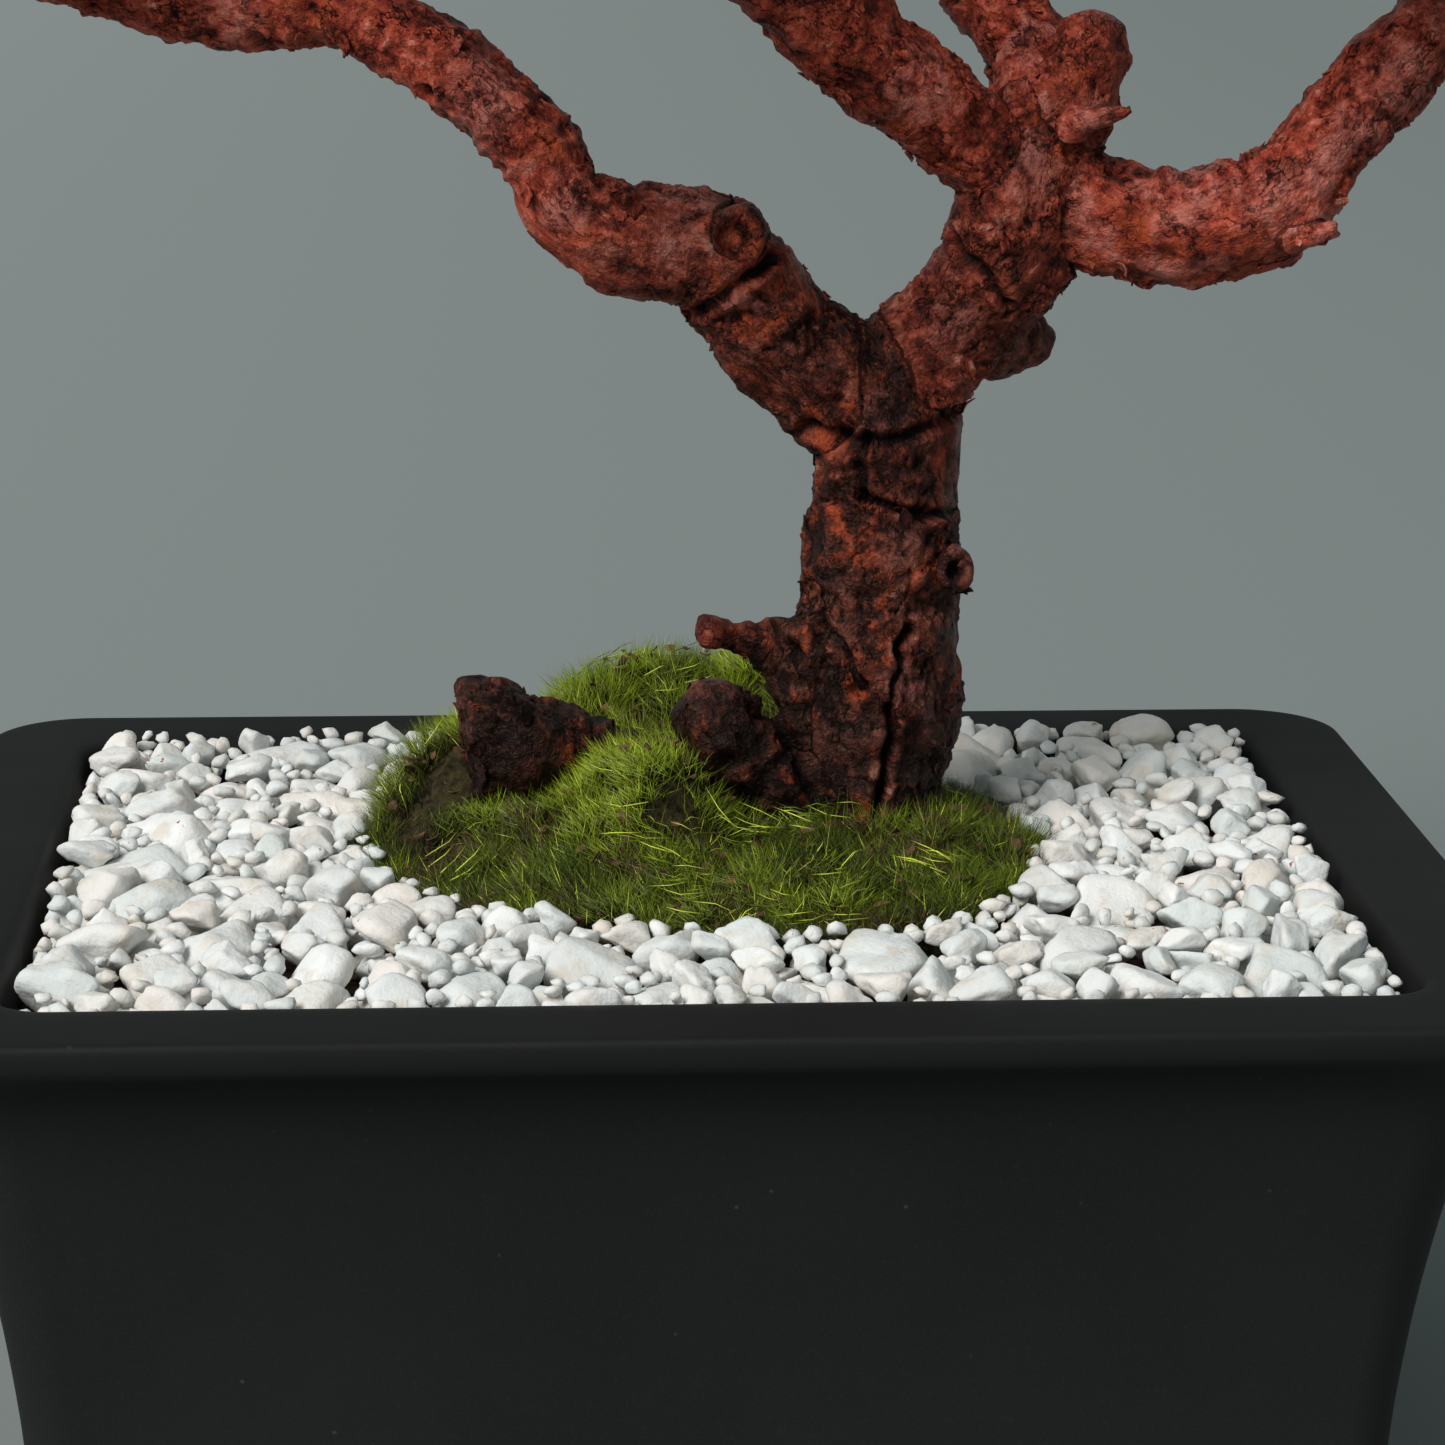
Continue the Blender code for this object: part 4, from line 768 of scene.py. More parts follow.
def plates(draw, middles, normals, sizes, thick, lift, curl):
    """Thin curled plates of bark: closed six-sided scraps, each tipped up on one side."""
    count = len(middles)
    side = unit(np.cross(normals, draw.normal(size=(count, 3))))
    other = np.cross(normals, side)
    points = np.empty((count, FLAKE_POINTS, 3))
    tip = draw.uniform(*lift, count)
    for k in range(7):
        if k < 6:
            reach = sizes * draw.uniform(0.7, 1.15, count) / 2
            angle = k * math.tau / 6 + draw.uniform(-0.3, 0.3, count)
            x, y = reach * np.cos(angle) * 1.25, reach * np.sin(angle) * 0.85
        else:
            x, y = np.zeros(count), np.zeros(count)
        z = x * np.tan(tip) + curl * (x * x - y * y) / sizes + 0.25 * sizes * np.tan(tip)
        flat = middles + side * x[:, None] + other * y[:, None]
        points[:, k] = flat + normals * (z + thick / 2)[:, None]
        points[:, 7 + k] = flat + normals * (z - thick / 2)[:, None]
    faces = []
    for k in range(6):
        n = (k + 1) % 6
        faces += [(k, n, 6), (7 + n, 7 + k, 13), (k, 7 + k, 7 + n), (k, 7 + n, n)]
    return many_alike("plates", points, faces)


def peels(draw, seats, normals, ways, sizes, thick):
    """Ragged strips of bark that lie on the wood at their foot and roll off it at their end."""
    rows, columns = PEEL_ROWS, PEEL_COLUMNS
    count = len(seats)
    ahead = unit(ways - normals * (ways * normals).sum(1)[:, None])
    side = np.cross(normals, ahead)
    roll = draw.uniform(0.6, 1.5, count)
    ends = 1 + draw.uniform(-0.3, 0.25, (count, columns))
    edges = draw.uniform(0.7, 1.1, (count, rows))
    points = np.empty((count, 2, rows, columns, 3))
    for row, column in pairings(range(rows), range(columns)):
        run = row / (rows - 1) * ends[:, column]
        out = (column / (columns - 1) - 0.5) * edges[:, row]
        forward = (np.sin(run * roll) / roll - 0.3) * sizes
        upward = (1 - np.cos(run * roll)) / roll * sizes + (0.35 * out * out - 0.06) * sizes
        place = seats + ahead * forward[:, None] + side * (0.8 * out * sizes)[:, None]
        place = place + normals * upward[:, None]
        bent = normals * np.cos(run * roll)[:, None] - ahead * np.sin(run * roll)[:, None]
        points[:, 0, row, column] = place + bent * thick / 2
        points[:, 1, row, column] = place - bent * thick / 2
    cell = np.arange(rows * columns).reshape(rows, columns)
    under = cell + PEEL_FACE_POINTS
    faces = []
    for row, column in pairings(range(rows - 1), range(columns - 1)):
        square = [(row, column), (row, column + 1), (row + 1, column + 1), (row + 1, column)]
        faces.append([cell[corner] for corner in reversed(square)])
        faces.append([under[corner] for corner in square])
    border = [*cell[0], *cell[1:, -1], *cell[-1, -2::-1], *cell[-2:0:-1, 0]]
    for a, b in zip(border, border[1:] + border[:1]):
        faces.append([a, b, b + PEEL_FACE_POINTS, a + PEEL_FACE_POINTS])
    return many_alike("peels", points.reshape(count, -1, 3), faces)


def ramp(finish, value, *stops):
    """A value's colour, read between stops of (value, colour)."""
    made = node(finish, "ValToRGB", {"Fac": value})
    elements = made.color_ramp.elements
    while len(elements) < len(stops):
        elements.new(0.5)
    for element, (position, colour) in zip(elements, stops):
        element.position = position
        element.color = (*colour, 1.0)
    return made.outputs["Color"]


def total(finish, start, *terms):
    """A plain start and some values, each by its weight, added up."""
    for value, weight in terms:
        made = node(finish, "Math", {0: value, 1: weight, 2: start}, operation="MULTIPLY_ADD")
        start = made.outputs[0]
    return start


def creases(finish, value, width):
    """Thin ragged lines, 1 where a noise crosses its middle value."""
    away = node(finish, "Math", {0: value, 1: 0.5}, operation="SUBTRACT").outputs[0]
    away = node(finish, "Math", {0: away}, operation="ABSOLUTE").outputs[0]
    return spread(finish, away, 0.0, width, 1.0, 0.0)


def kept_value(finish, name):
    """A value that is kept on the points of the mesh."""
    return node(finish, "Attribute", attribute_name=name).outputs["Fac"]


def stretched(finish, place, by):
    """A place with each of its parts multiplied."""
    return node(finish, "VectorMath", {0: place, 1: by}, operation="MULTIPLY").outputs[0]


def flaking_bark():
    """Red-brown bark: black in its cracks and crevices, partly its own colour and partly painted
    shade; red where it flaked, pink where it is smooth.
    """
    finish, shader, place = new_finish("flaking_pine_bark", Specular_IOR_Level=0.3)
    shader.inputs["Specular Tint"].default_value = WARM_SHEEN
    kept = {name: kept_value(finish, name) for name in BARK_VALUES}
    limbwise = node(finish, "Attribute", attribute_name="limbwise").outputs["Vector"]
    squeezed = stretched(finish, limbwise, (0.25, 0.25, 1.0))
    drawn = stretched(finish, limbwise, (1.0, 1.0, 0.6))
    blotches = noise_in(finish, limbwise, 165, 5, 0.6)
    stains = noise_in(finish, limbwise, 430, 5, 0.65)
    flecks = noise_in(finish, limbwise, 1150, 4, 0.7)
    redness = noise_in(finish, limbwise, 260, 5, 0.62)
    greying = noise_in(finish, drawn, 520, 5, 0.66)
    wrinkles = noise_in(finish, squeezed, 850, 4, 0.62)
    fibres = noise_in(finish, place, 1900, 4, 0.72)
    cracks = creases(finish, noise_in(finish, drawn, 250, 7, 0.62), 0.014)
    fine_cracks = creases(finish, noise_in(finish, drawn, 620, 6, 0.66), 0.016)
    crumple = creases(finish, noise_in(finish, drawn, 400, 5, 0.6), 0.13)
    cracks = product(finish, cracks, spread(finish, blotches, 0.58, 0.46))
    fine_cracks = product(finish, fine_cracks, spread(finish, greying, 0.42, 0.56, 0.0, 0.8))
    # The index is lower in crevices, so the ramps paint them darker as painted shade.
    index = total(
        finish, -1.57,
        (blotches, 1.00), (stains, 1.50), (flecks, 0.80), (wrinkles, 0.40), (kept["depth"], 0.50),
        (kept["tone"], 0.12), (crumple, -0.14), (cracks, -0.40), (fine_cracks, -0.22),
        (kept["dark"], -0.20), (kept["ember"], 0.08),
    )
    old = ramp(finish, index, *OLD_RAMP)
    young = ramp(finish, index, *YOUNG_RAMP)
    colour = mixed(finish, kept["red"], old, young)
    grey = mixed(finish, spread(finish, index, 0.2, 0.9), *WEATHERED_GREY)
    grey_share = spread(finish, greying, 0.55, 0.64)
    grey_share = product(finish, grey_share, spread(finish, kept["red"], 0, 1, 0.3, 0.2))
    colour = mixed(finish, grey_share, colour, grey)
    ember = mixed(finish, spread(finish, stains, 0.35, 0.68), *EMBER_RED)
    rusty = spread(finish, redness, 0.57, 0.65, 0.0, 0.7)
    rusty = node(finish, "Math", {0: rusty, 1: kept["ember"]}, operation="MAXIMUM").outputs[0]
    ember_share = product(finish, rusty, spread(finish, index, 0.3, 0.55))
    ember_share = product(finish, ember_share, spread(finish, stains, 0.45, 0.55, 0.1, 0.9))
    colour = mixed(finish, ember_share, colour, ember)
    skin = mixed(finish, kept["red"], *SMOOTH_SKIN)
    skin_share = product(finish, kept["pink"], spread(finish, stains, 0.42, 0.58, 0.1, 0.85))
    skin_share = product(finish, skin_share, spread(finish, kept["depth"], 0.3, 0.55))
    colour = mixed(finish, skin_share, colour, skin)
    # Painted shade: crevices, knot hollows, cracks and, in part, the dark patches are darkened towards
    # black.
    shade = total(
        finish, 0.0,
        (spread(finish, kept["depth"], 0.42, 0.12), 0.92), (kept["dark"], 0.20),
        (cracks, 0.40), (fine_cracks, 0.15), (crumple, 0.10),
    )
    colour = mixed(finish, spread(finish, shade, 0.0, 1.0), colour, CREVICE_SHADE_BLACK)
    heart = mixed(finish, spread(finish, stains, 0.35, 0.65), *HEART_RED)
    colour = mixed(finish, spread(finish, kept["raw"], 0.35, 0.9, 0, 0.9), colour, heart)
    wire(finish, colour, shader, "Base Color")
    gloss = total(finish, 0.18, (fibres, 0.54), (kept["pink"], -0.14))
    wire(finish, gloss, shader, "Roughness")
    relief = total(
        finish, 0.0,
        (stains, 1.2), (flecks, 0.45), (wrinkles, 0.4), (crumple, -0.26), (cracks, -0.40),
        (fine_cracks, -0.16),
    )
    normal = bump(finish, shader, relief, 0.85 * MM, 1.0)
    bump(finish, shader, fibres, 0.14 * MM, 0.8, normal)
    return finish


limb_names = list(LIMBS_MM)
limb_routes = [limb_route(LIMBS_MM[name], LIMB_STEPS) for name in limb_names]
whole = bmesh.new()
for route in limb_routes:
    piece = bpy.data.meshes.new("limb")
    limb_tube(route).to_mesh(piece)
    whole.from_mesh(piece)
    bpy.data.meshes.remove(piece)
bmesh.ops.recalc_face_normals(whole, faces=whole.faces)
wood = as_object("bark_and_wood", whole)
grown = wood.modifiers.new("Grown together", "REMESH")
grown.mode = "VOXEL"
grown.voxel_size = WOOD_VOXEL
settle(wood)
points = eased(wood.data, mesh_points(wood.data), TUBE_EASING)
root_end = points[:, 0] < ROOT_END_X
root_end &= (points[:, 2] > ROOT_END_Z[0]) & (points[:, 2] < ROOT_END_Z[1])
for place, way in BROKEN_FACES_MM:
    way = np.array(way) / np.linalg.norm(way)
    crumble = FACE_CRUMBLE[0] * rolling(points, FACE_CRUMBLE[1], 95)
    over = (points - np.array(place) * MM) @ way + crumble
    points -= np.where(root_end, np.maximum(over, 0), 0)[:, None] * way
move_points(wood.data, points)
straight, radius, limb = straightened(points, limb_routes)
height, *looks = bark_relief(points, straight, radius)
depth = height - eased(wood.data, height, CREVICE_EASING)[:, 0]
depth = np.clip(0.5 + depth / CREVICE_DEPTH, 0, 1)
move_points(wood.data, points + mesh_normals(wood.data) * height[:, None] * MM)
freshness = np.array([FRESH.get(name, OLD_BARK) for name in limb_names])[limb]
on_left = limb == limb_names.index("left_limb")
left_freshness = 0.06 + 0.8 * stepped(-points[:, 0], *LEFT_LIMB_FRESH_X)
freshness = np.where(on_left, left_freshness, freshness)
freshness += 0.26 * stepped(points[:, 2], *FRESHER_ABOVE_Z)
# The bark below this height is made darker.
looks[-1] = np.maximum(looks[-1], 0.9 * stepped(-points[:, 2], *DARKER_BELOW_Z))
red = np.clip(freshness + 0.3 * rolling(points, 12 * MM, 81), 0, 1)
red = eased(wood.data, red, 20)[:, 0]
kept = np.column_stack([depth, *looks, red, straight])


def nearest_in(points):
    """A tree that finds the nearest of some points."""
    tree = kdtree.KDTree(len(points))
    for i, point in enumerate(points):
        tree.insert(point, i)
    tree.balance()
    return tree


before = nearest_in(mesh_points(wood.data))
fewer = wood.modifiers.new("Fewer faces", "DECIMATE")
fewer.ratio = WOOD_FACES / (2 * len(wood.data.polygons))
settle(wood)
kept = kept[[before.find(vert.co)[1] for vert in wood.data.vertices]]


def add_bark_values(mesh, kept):
    """What the bark's finish reads, kept on a mesh's points."""
    add_values(mesh, **dict(zip(BARK_VALUES, kept.T)))
    limbwise = mesh.attributes.new("limbwise", "FLOAT_VECTOR", "POINT")
    limbwise.data.foreach_set("vector", kept[:, -3:].astype(np.float32).ravel())


add_bark_values(wood.data, kept)
wood.data.shade_smooth()
bark = flaking_bark()
put(wood, bark, "pine_bark", "tree_wood")

draw = np.random.default_rng(3)
surface, facing = mesh_points(wood.data), mesh_normals(wood.data)
ready = np.flatnonzero(surface[:, 2] > SOIL_LINE + 4 * MM)
chosen = draw.choice(ready, FLAKES, replace=False)
sizes = draw.uniform(*FLAKE_SIZE, FLAKES) * (0.6 + 0.4 * kept[chosen, 1])
seats, normals = surface[chosen], facing[chosen]
scraps = plates(draw, seats, normals, sizes, FLAKE_THICK, FLAKE_LIFT, FLAKE_CURL)
flakes = as_object("loose_bark_flakes", scraps)
own = kept[chosen].copy()
own[:, 0] = draw.uniform(0.35, 0.7, FLAKES)
own = np.repeat(own, FLAKE_POINTS, axis=0)
own[:, -3:] += mesh_points(scraps) - np.repeat(seats, FLAKE_POINTS, axis=0)
add_bark_values(flakes.data, own)
put(flakes, bark, "pine_bark", "tree_wood")
ways = unit(np.array([way for _, _, way in CURLS_MM]))
spots = [place for place, _, _ in CURLS_MM] * np.array(MM)
sizes = np.array([size for _, size, _ in CURLS_MM]) * MM
after = nearest_in(surface)
seats = [after.find(spot)[1] for spot in spots]
rolled = peels(draw, surface[seats], facing[seats], ways, sizes, PEEL_THICK)
curls = as_object("curled_bark", rolled)
own = np.repeat(kept[seats], 2 * PEEL_FACE_POINTS, axis=0)
# Painted shade: each curl's underside is given a low depth, so its finish paints it dark.
own[:, 0] = np.tile(np.repeat((0.62, 0.2), PEEL_FACE_POINTS), len(seats))
own[:, -3:] += mesh_points(rolled) - np.repeat(surface[seats], 2 * PEEL_FACE_POINTS, axis=0)
add_bark_values(curls.data, own)
curls.data.shade_smooth()
put(curls, bark, "pine_bark", "tree_wood")
for piece in (wood, flakes, curls):
    piece.data.transform(PLANTED)

# Moss. A living cushion of hair-like shoots, pinned on the soil round the root: clumps of
# fresh green that part over older brown stems, with shed scraps of bark between them.
MOSS_OUTLINE_MM = (
    (42, 0), (41, 15), (35, 31), (20, 44), (0, 49), (-22, 46), (-39, 34), (-47, 14), (-46, -6),
    (-34, -20), (-18, -29), (2, -34), (22, -31), (37, -20),
)
MOSS_MIDDLE_MM = (-4, 6)
MOSS_EDGE = 76.6 * MM
MOSS_MOUNDS_MM = (
    (-9.6, -1, 16.2, 8.8), (-10, 33, 20.8, 15), (8, 36, 21, 11), (-36, 18, 17, 11),
    (-26, 4, 7.5, 8), (20, 6, 7.5, 15), (34, 4, 6, 8), (8, -14, 5, 10), (-14, -16, 5, 10),
    (26, -16, 4.5, 8),
)
MOSS_SHOULDER = 1.5 * MM
MOSS_SEGMENTS = 112
MOSS_SHARES = (0.08, 0.2, 0.32, 0.44, 0.55, 0.65, 0.74, 0.82, 0.89, 0.95, 1.0)
MOSS_MAT_DEPTH = 4.2 * MM
MOSS_SHOOTS = 13000
MOSS_HAIRS = 42000
MOSS_OLD_SHOOTS = 9000
MOSS_LYING_GROUPS = 26
MOSS_LYING = 20
MOSS_SHOOT_WIDTH = (0.09 * MM, 0.18 * MM)
MOSS_CLUMP_GAP = 4.3 * MM
MOSS_LEAN = 1.15
MOSS_GLINTS = 0.03
LYING_GLINTS = 0.25
LYING_WIDTH = (0.11, 0.19)
LYING_LENGTH = (3.0, 6.5)
LYING_RISE = (0.3, 0.3, 0.3, 0.8, 0.8, 0.8, 1)
BLADE_RISE = (0, 0, 0, 0.55, 0.55, 0.55, 1)
SPIKE_RISE = (0, 0, 0, 1)
MOSS_SCRAPS = 620
SCRAP_LONG = 1.9 * MM
SOIL_TOP = 71 * MM
MAT_BROWNS = (0.008, 0.007, 0.003), (0.052, 0.040, 0.014)
FRESH_GREENS = (0.024, 0.052, 0.003), (0.400, 0.540, 0.022)
FOOT_GREENS = (0.010, 0.012, 0.003), (0.030, 0.045, 0.004)
FADED_BROWN = (0.070, 0.044, 0.016)
SUNLIT_TIP = (0.860, 0.960, 0.120)
OLD_BROWNS = (0.070, 0.030, 0.013), (0.120, 0.094, 0.026)
OLD_DARK = (0.022, 0.015, 0.008)
SCRAP_BROWNS = (0.030, 0.015, 0.009), (0.150, 0.080, 0.040)


def moved(points, matrix):
    """Points moved by a matrix."""
    matrix = np.array(matrix)
    return points @ matrix[:3, :3].T + matrix[:3, 3]


def moss_reach(x, y):
    """The share of the way from the moss's middle to its outline at which a point lies."""
    out_x, out_y = (MOSS_EDGE_LINE - MOSS_MIDDLE).T
    angle, far = np.arctan2(out_y, out_x), np.hypot(out_x, out_y)
    order = np.argsort(angle)
    here = np.arctan2(y - MOSS_MIDDLE[1], x - MOSS_MIDDLE[0])
    edge = np.interp(here, angle[order], far[order], period=math.tau)
    return np.hypot(x - MOSS_MIDDLE[0], y - MOSS_MIDDLE[1]) / edge


def moss_level(x, y, share):
    """The smooth top of the moss, mound by mound."""
    rise = np.zeros_like(x)
    for (mound_x, mound_y), (_, _, height, wide) in zip(MOSS_PEAKS, MOSS_MOUNDS_MM):
        away = np.hypot(x - mound_x, y - mound_y) / (wide * MM)
        rise += (height * MM * np.exp(-away * away / 2)) ** 3
    return MOSS_EDGE + (1 - share**6) * (np.cbrt(rise) + MOSS_SHOULDER)


def moss_top_at(places):
    """The height of the moss's smooth top at some places."""
    return moss_level(*places.T, np.minimum(moss_reach(*places.T), 1))


def spaced(draw, count, low, high, gap, keep):
    """Random points in a box, each kept at least a gap from those before it."""
    points = []
    for _ in range(count):
        point = draw.uniform(low, high)
        if keep(point) and all(np.hypot(*(point - other)) > gap for other in points):
            points.append(point)
    return np.array(points)


def three_sides(along, widths):
    """The three corners round each of some lines, as steps out from the line."""
    side = unit(np.cross(along, (0.31, 0.52, 0.79)))
    other = unit(np.cross(along, side))
    turns = [k * math.tau / 3 for k in range(3)]
    rings = [math.cos(turn) * side + math.sin(turn) * other for turn in turns]
    return [ring * widths[:, None] / 2 for ring in rings]


def blades(roots, tips, bends, widths):
    """Slim three-sided blades from root to tip, each bent at its middle and closed at its foot."""
    along = tips - roots
    middles = roots + 0.55 * along + bends
    points = np.empty((len(roots), len(BLADE_RISE), 3))
    for k, out in enumerate(three_sides(along, widths)):
        points[:, k] = roots + out
        points[:, 3 + k] = middles + 0.8 * out
    points[:, 6] = tips
    faces = [(2, 1, 0)]
    for k in range(3):
        n = (k + 1) % 3
        faces += [(k, n, 3 + n), (k, 3 + n, 3 + k), (3 + k, 3 + n, 6)]
    return many_alike("blades", points, faces)


def spikes(roots, tips, widths):
    """Straight three-sided hairs from root to tip, each closed at its foot."""
    points = np.empty((len(roots), len(SPIKE_RISE), 3))
    for k, out in enumerate(three_sides(tips - roots, widths)):
        points[:, k] = roots + out
    points[:, 3] = tips
    return many_alike("spikes", points, [(2, 1, 0), (0, 1, 3), (1, 2, 3), (2, 0, 3)])


def moss_green():
    """Fresh green shoots, yellower at their tips, darker at their roots; a few catch the light."""
    finish, shader, place = new_finish("fresh_moss", Specular_IOR_Level=0.32, Roughness=0.3)
    tint = kept_value(finish, "tint")
    rise = kept_value(finish, "rise")
    green = mixed(finish, spread(finish, tint, 0.0, 0.95), *FRESH_GREENS)
    root = mixed(finish, tint, *FOOT_GREENS)
    colour = mixed(finish, spread(finish, rise, 0.15, 0.95), root, green)
    patches = noise_in(finish, place, 130, 4)
    faded = spread(finish, patches, 0.48, 0.62)
    faded = product(finish, faded, spread(finish, tint, 0.75, 0.3, 0.2, 0.9))
    colour = mixed(finish, faded, colour, FADED_BROWN)
    lit = product(finish, spread(finish, tint, 0.98, 1.0), spread(finish, rise, 0.1, 0.5))
    colour = mixed(finish, lit, colour, SUNLIT_TIP)
    wire(finish, colour, shader, "Base Color")
    return finish


def moss_brown():
    """Old shoots gone brown and olive under the fresh ones."""
    finish, shader, place = new_finish("old_moss", Specular_IOR_Level=0.3, Roughness=0.6)
    tint = kept_value(finish, "tint")
    colour = mixed(finish, tint, *OLD_BROWNS)
    mottle = noise_in(finish, place, 300, 2)
    colour = mixed(finish, spread(finish, mottle, 0.4, 0.6, 0, 0.7), colour, OLD_DARK)
    wire(finish, colour, shader, "Base Color")
    return finish


closed_outline = MOSS_OUTLINE_MM[-1:] + MOSS_OUTLINE_MM + MOSS_OUTLINE_MM[:2]
steps = MOSS_SEGMENTS // len(MOSS_OUTLINE_MM)
MOSS_EDGE_LINE = smooth_line(closed_outline, steps)[steps:-steps] * MM
MOSS_EDGE_LINE = np.column_stack([MOSS_EDGE_LINE[:MOSS_SEGMENTS], np.zeros(MOSS_SEGMENTS)])
MOSS_EDGE_LINE = moved(MOSS_EDGE_LINE, ON_GROUND)[:, :2]
MOSS_MIDDLE = moved(np.array((*MOSS_MIDDLE_MM, 0)) * MM, ON_GROUND)[:2]
MOSS_PEAKS = [(x, y, 0) for x, y, _, _ in MOSS_MOUNDS_MM]
MOSS_PEAKS = [moved(np.array(peak) * MM, ON_GROUND)[:2] for peak in MOSS_PEAKS]
rings = [np.column_stack([MOSS_EDGE_LINE, np.full(MOSS_SEGMENTS, SOIL_TOP + 0.3 * MM)])]
for share in reversed(MOSS_SHARES):
    x, y = (MOSS_MIDDLE + (MOSS_EDGE_LINE - MOSS_MIDDLE) * share).T
    level = moss_level(x, y, share) - MOSS_MAT_DEPTH
    level = level + 0.9 * MM * rolling(np.column_stack([x, y, y]), 3.2 * MM, 90)
    rings.append(np.column_stack([x, y, np.maximum(level, SOIL_TOP + 0.6 * MM)]))
mat = as_object("moss_mat", loft(rings))
mat.data.shade_smooth()
finish, shader, place = new_finish("old_moss_stems", Specular_IOR_Level=0.2, Roughness=0.95)
strands = noise_in(finish, place, 900, 4)
colour = mixed(finish, spread(finish, strands, 0.35, 0.65), *MAT_BROWNS)
wire(finish, colour, shader, "Base Color")
bump(finish, shader, strands, 1.0 * MM)
put(mat, finish, "moss", "moss_cushion")

draw = np.random.default_rng(7)
low, high = MOSS_EDGE_LINE.min(0), MOSS_EDGE_LINE.max(0)
clumps = spaced(draw, 1600, low, high, MOSS_CLUMP_GAP, lambda p: moss_reach(*p) < 0.93)
vigour = draw.uniform(0.35, 1.0, len(clumps))
clump_way = draw.normal(0, 0.34, (len(clumps), 2))
clump_height = moss_top_at(clumps) - MOSS_EDGE - MOSS_SHOULDER
# Painted light: the higher a clump stands on the mounds, the brighter and greener it is painted.
clump_tint_and_light = 0.2 + 0.62 * stepped(clump_height, 3 * MM, 14 * MM)
clump_tint_and_light = np.clip(clump_tint_and_light + draw.normal(0, 0.18, len(clumps)), 0, 1)


def clear_of_limbs(roots, tips):
    """Which shoots stay out of the wood at their middle and tip."""
    clear = np.ones(len(roots), bool)
    roots, tips = moved(roots, PLANTED.inverted()), moved(tips, PLANTED.inverted())
    for t in (0.5, 1.0):
        straight, radius, _ = straightened(roots + (tips - roots) * t, limb_routes)
        clear &= np.hypot(straight[:, 0], straight[:, 1]) > radius * 0.95
    return clear


def moss_shoots(name, count, rise, seed, tints, finish, bent):
    """Shoots that fan out of each clump's foot in all directions, up to its low dome."""
    draw = np.random.default_rng(seed)
    which = draw.integers(0, len(clumps), count * 2)
    turn = draw.uniform(0, math.tau, count * 2)
    lean = np.sqrt(draw.uniform(0, 1, count * 2)) * MOSS_LEAN
    foot = clumps[which] + draw.normal(0, 0.8 if bent else 1.5, (count * 2, 2)) * MM
    mat_top = moss_top_at(foot) - MOSS_MAT_DEPTH - 0.4 * MM
    length = (MOSS_MAT_DEPTH + rise * vigour[which] * MM) * draw.uniform(0.8, 1.15, count * 2)
    way = np.column_stack([np.sin(lean) * np.cos(turn), np.sin(lean) * np.sin(turn), np.cos(lean)])
    way[:, :2] += clump_way[which]
    roots = np.column_stack([foot, mat_top])
    tips = roots + unit(way) * length[:, None]
    fit = moss_reach(*tips[:, :2].T) < 1.03
    fit = np.flatnonzero(fit)[: int(1.04 * count)]
    fit = fit[clear_of_limbs(roots[fit], tips[fit])][:count]
    roots, tips, which, length = roots[fit], tips[fit], which[fit], length[fit]
    widths = draw.uniform(*MOSS_SHOOT_WIDTH, len(roots))
    if bent:
        bends = draw.normal(0, 0.06, (len(roots), 3)) * length[:, None]
        mesh, rises = blades(roots, tips, bends, widths), BLADE_RISE
    else:
        mesh, rises = spikes(roots, tips, widths), SPIKE_RISE
    grown = as_object(name, mesh)
    tint = np.clip(tints[which] + draw.normal(0, 0.2, len(roots)), 0, 0.95)
    tint[draw.uniform(0, 1, len(roots)) < MOSS_GLINTS] = 1.0
    add_values(grown.data, tint=np.repeat(tint, len(rises)), rise=np.tile(rises, len(roots)))
    grown.data.shade_smooth()
    put(grown, finish, "moss", "moss_cushion")


fresh_moss = moss_green()
moss_shoots("fresh_moss_shoots", MOSS_SHOOTS, 2.6, 8, clump_tint_and_light, fresh_moss, True)
moss_shoots("fine_moss_hairs", MOSS_HAIRS, 2.2, 10, clump_tint_and_light + 0.1, fresh_moss, False)
moss_shoots("old_moss_shoots", MOSS_OLD_SHOOTS, 1.2, 9, 0.5 * clump_tint_and_light, moss_brown(), False)

groups = clumps[draw.integers(0, len(clumps), MOSS_LYING_GROUPS)]
heading = draw.uniform(0, math.tau, MOSS_LYING_GROUPS)
foot = np.repeat(groups, MOSS_LYING, axis=0)
foot = foot + draw.normal(0, 2.2, foot.shape) * MM
turn = np.repeat(heading, MOSS_LYING) + draw.normal(0, 0.28, len(foot))
slope = draw.uniform(-0.05, 0.4, len(foot))
way = np.column_stack([np.cos(turn), np.sin(turn), slope])
length = draw.uniform(*LYING_LENGTH, len(foot)) * MM
roots = np.column_stack([foot, moss_top_at(foot) - 0.3 * MM])
tips = roots + way * length[:, None]
fit = (moss_reach(*tips[:, :2].T) < 0.97) & (moss_reach(*foot.T) < 0.97)
tips[:, 2] = np.maximum(tips[:, 2], moss_top_at(tips[:, :2]) + 0.2 * MM)
fit &= clear_of_limbs(roots, tips)
roots, tips = roots[fit], tips[fit]
bends = draw.normal(0, 0.08, (len(roots), 3)) * length[fit][:, None]
widths = draw.uniform(*LYING_WIDTH, len(roots)) * MM
lying = as_object("lying_moss_shoots", blades(roots, tips, bends, widths))
tint = np.clip(draw.normal(0.55, 0.22, len(roots)), 0, 0.95)
tint[draw.uniform(0, 1, len(roots)) < LYING_GLINTS] = 1.0
tint = np.repeat(tint, len(LYING_RISE))
add_values(lying.data, tint=tint, rise=np.tile(LYING_RISE, len(roots)))
lying.data.shade_smooth()
put(lying, fresh_moss, "moss", "moss_cushion")

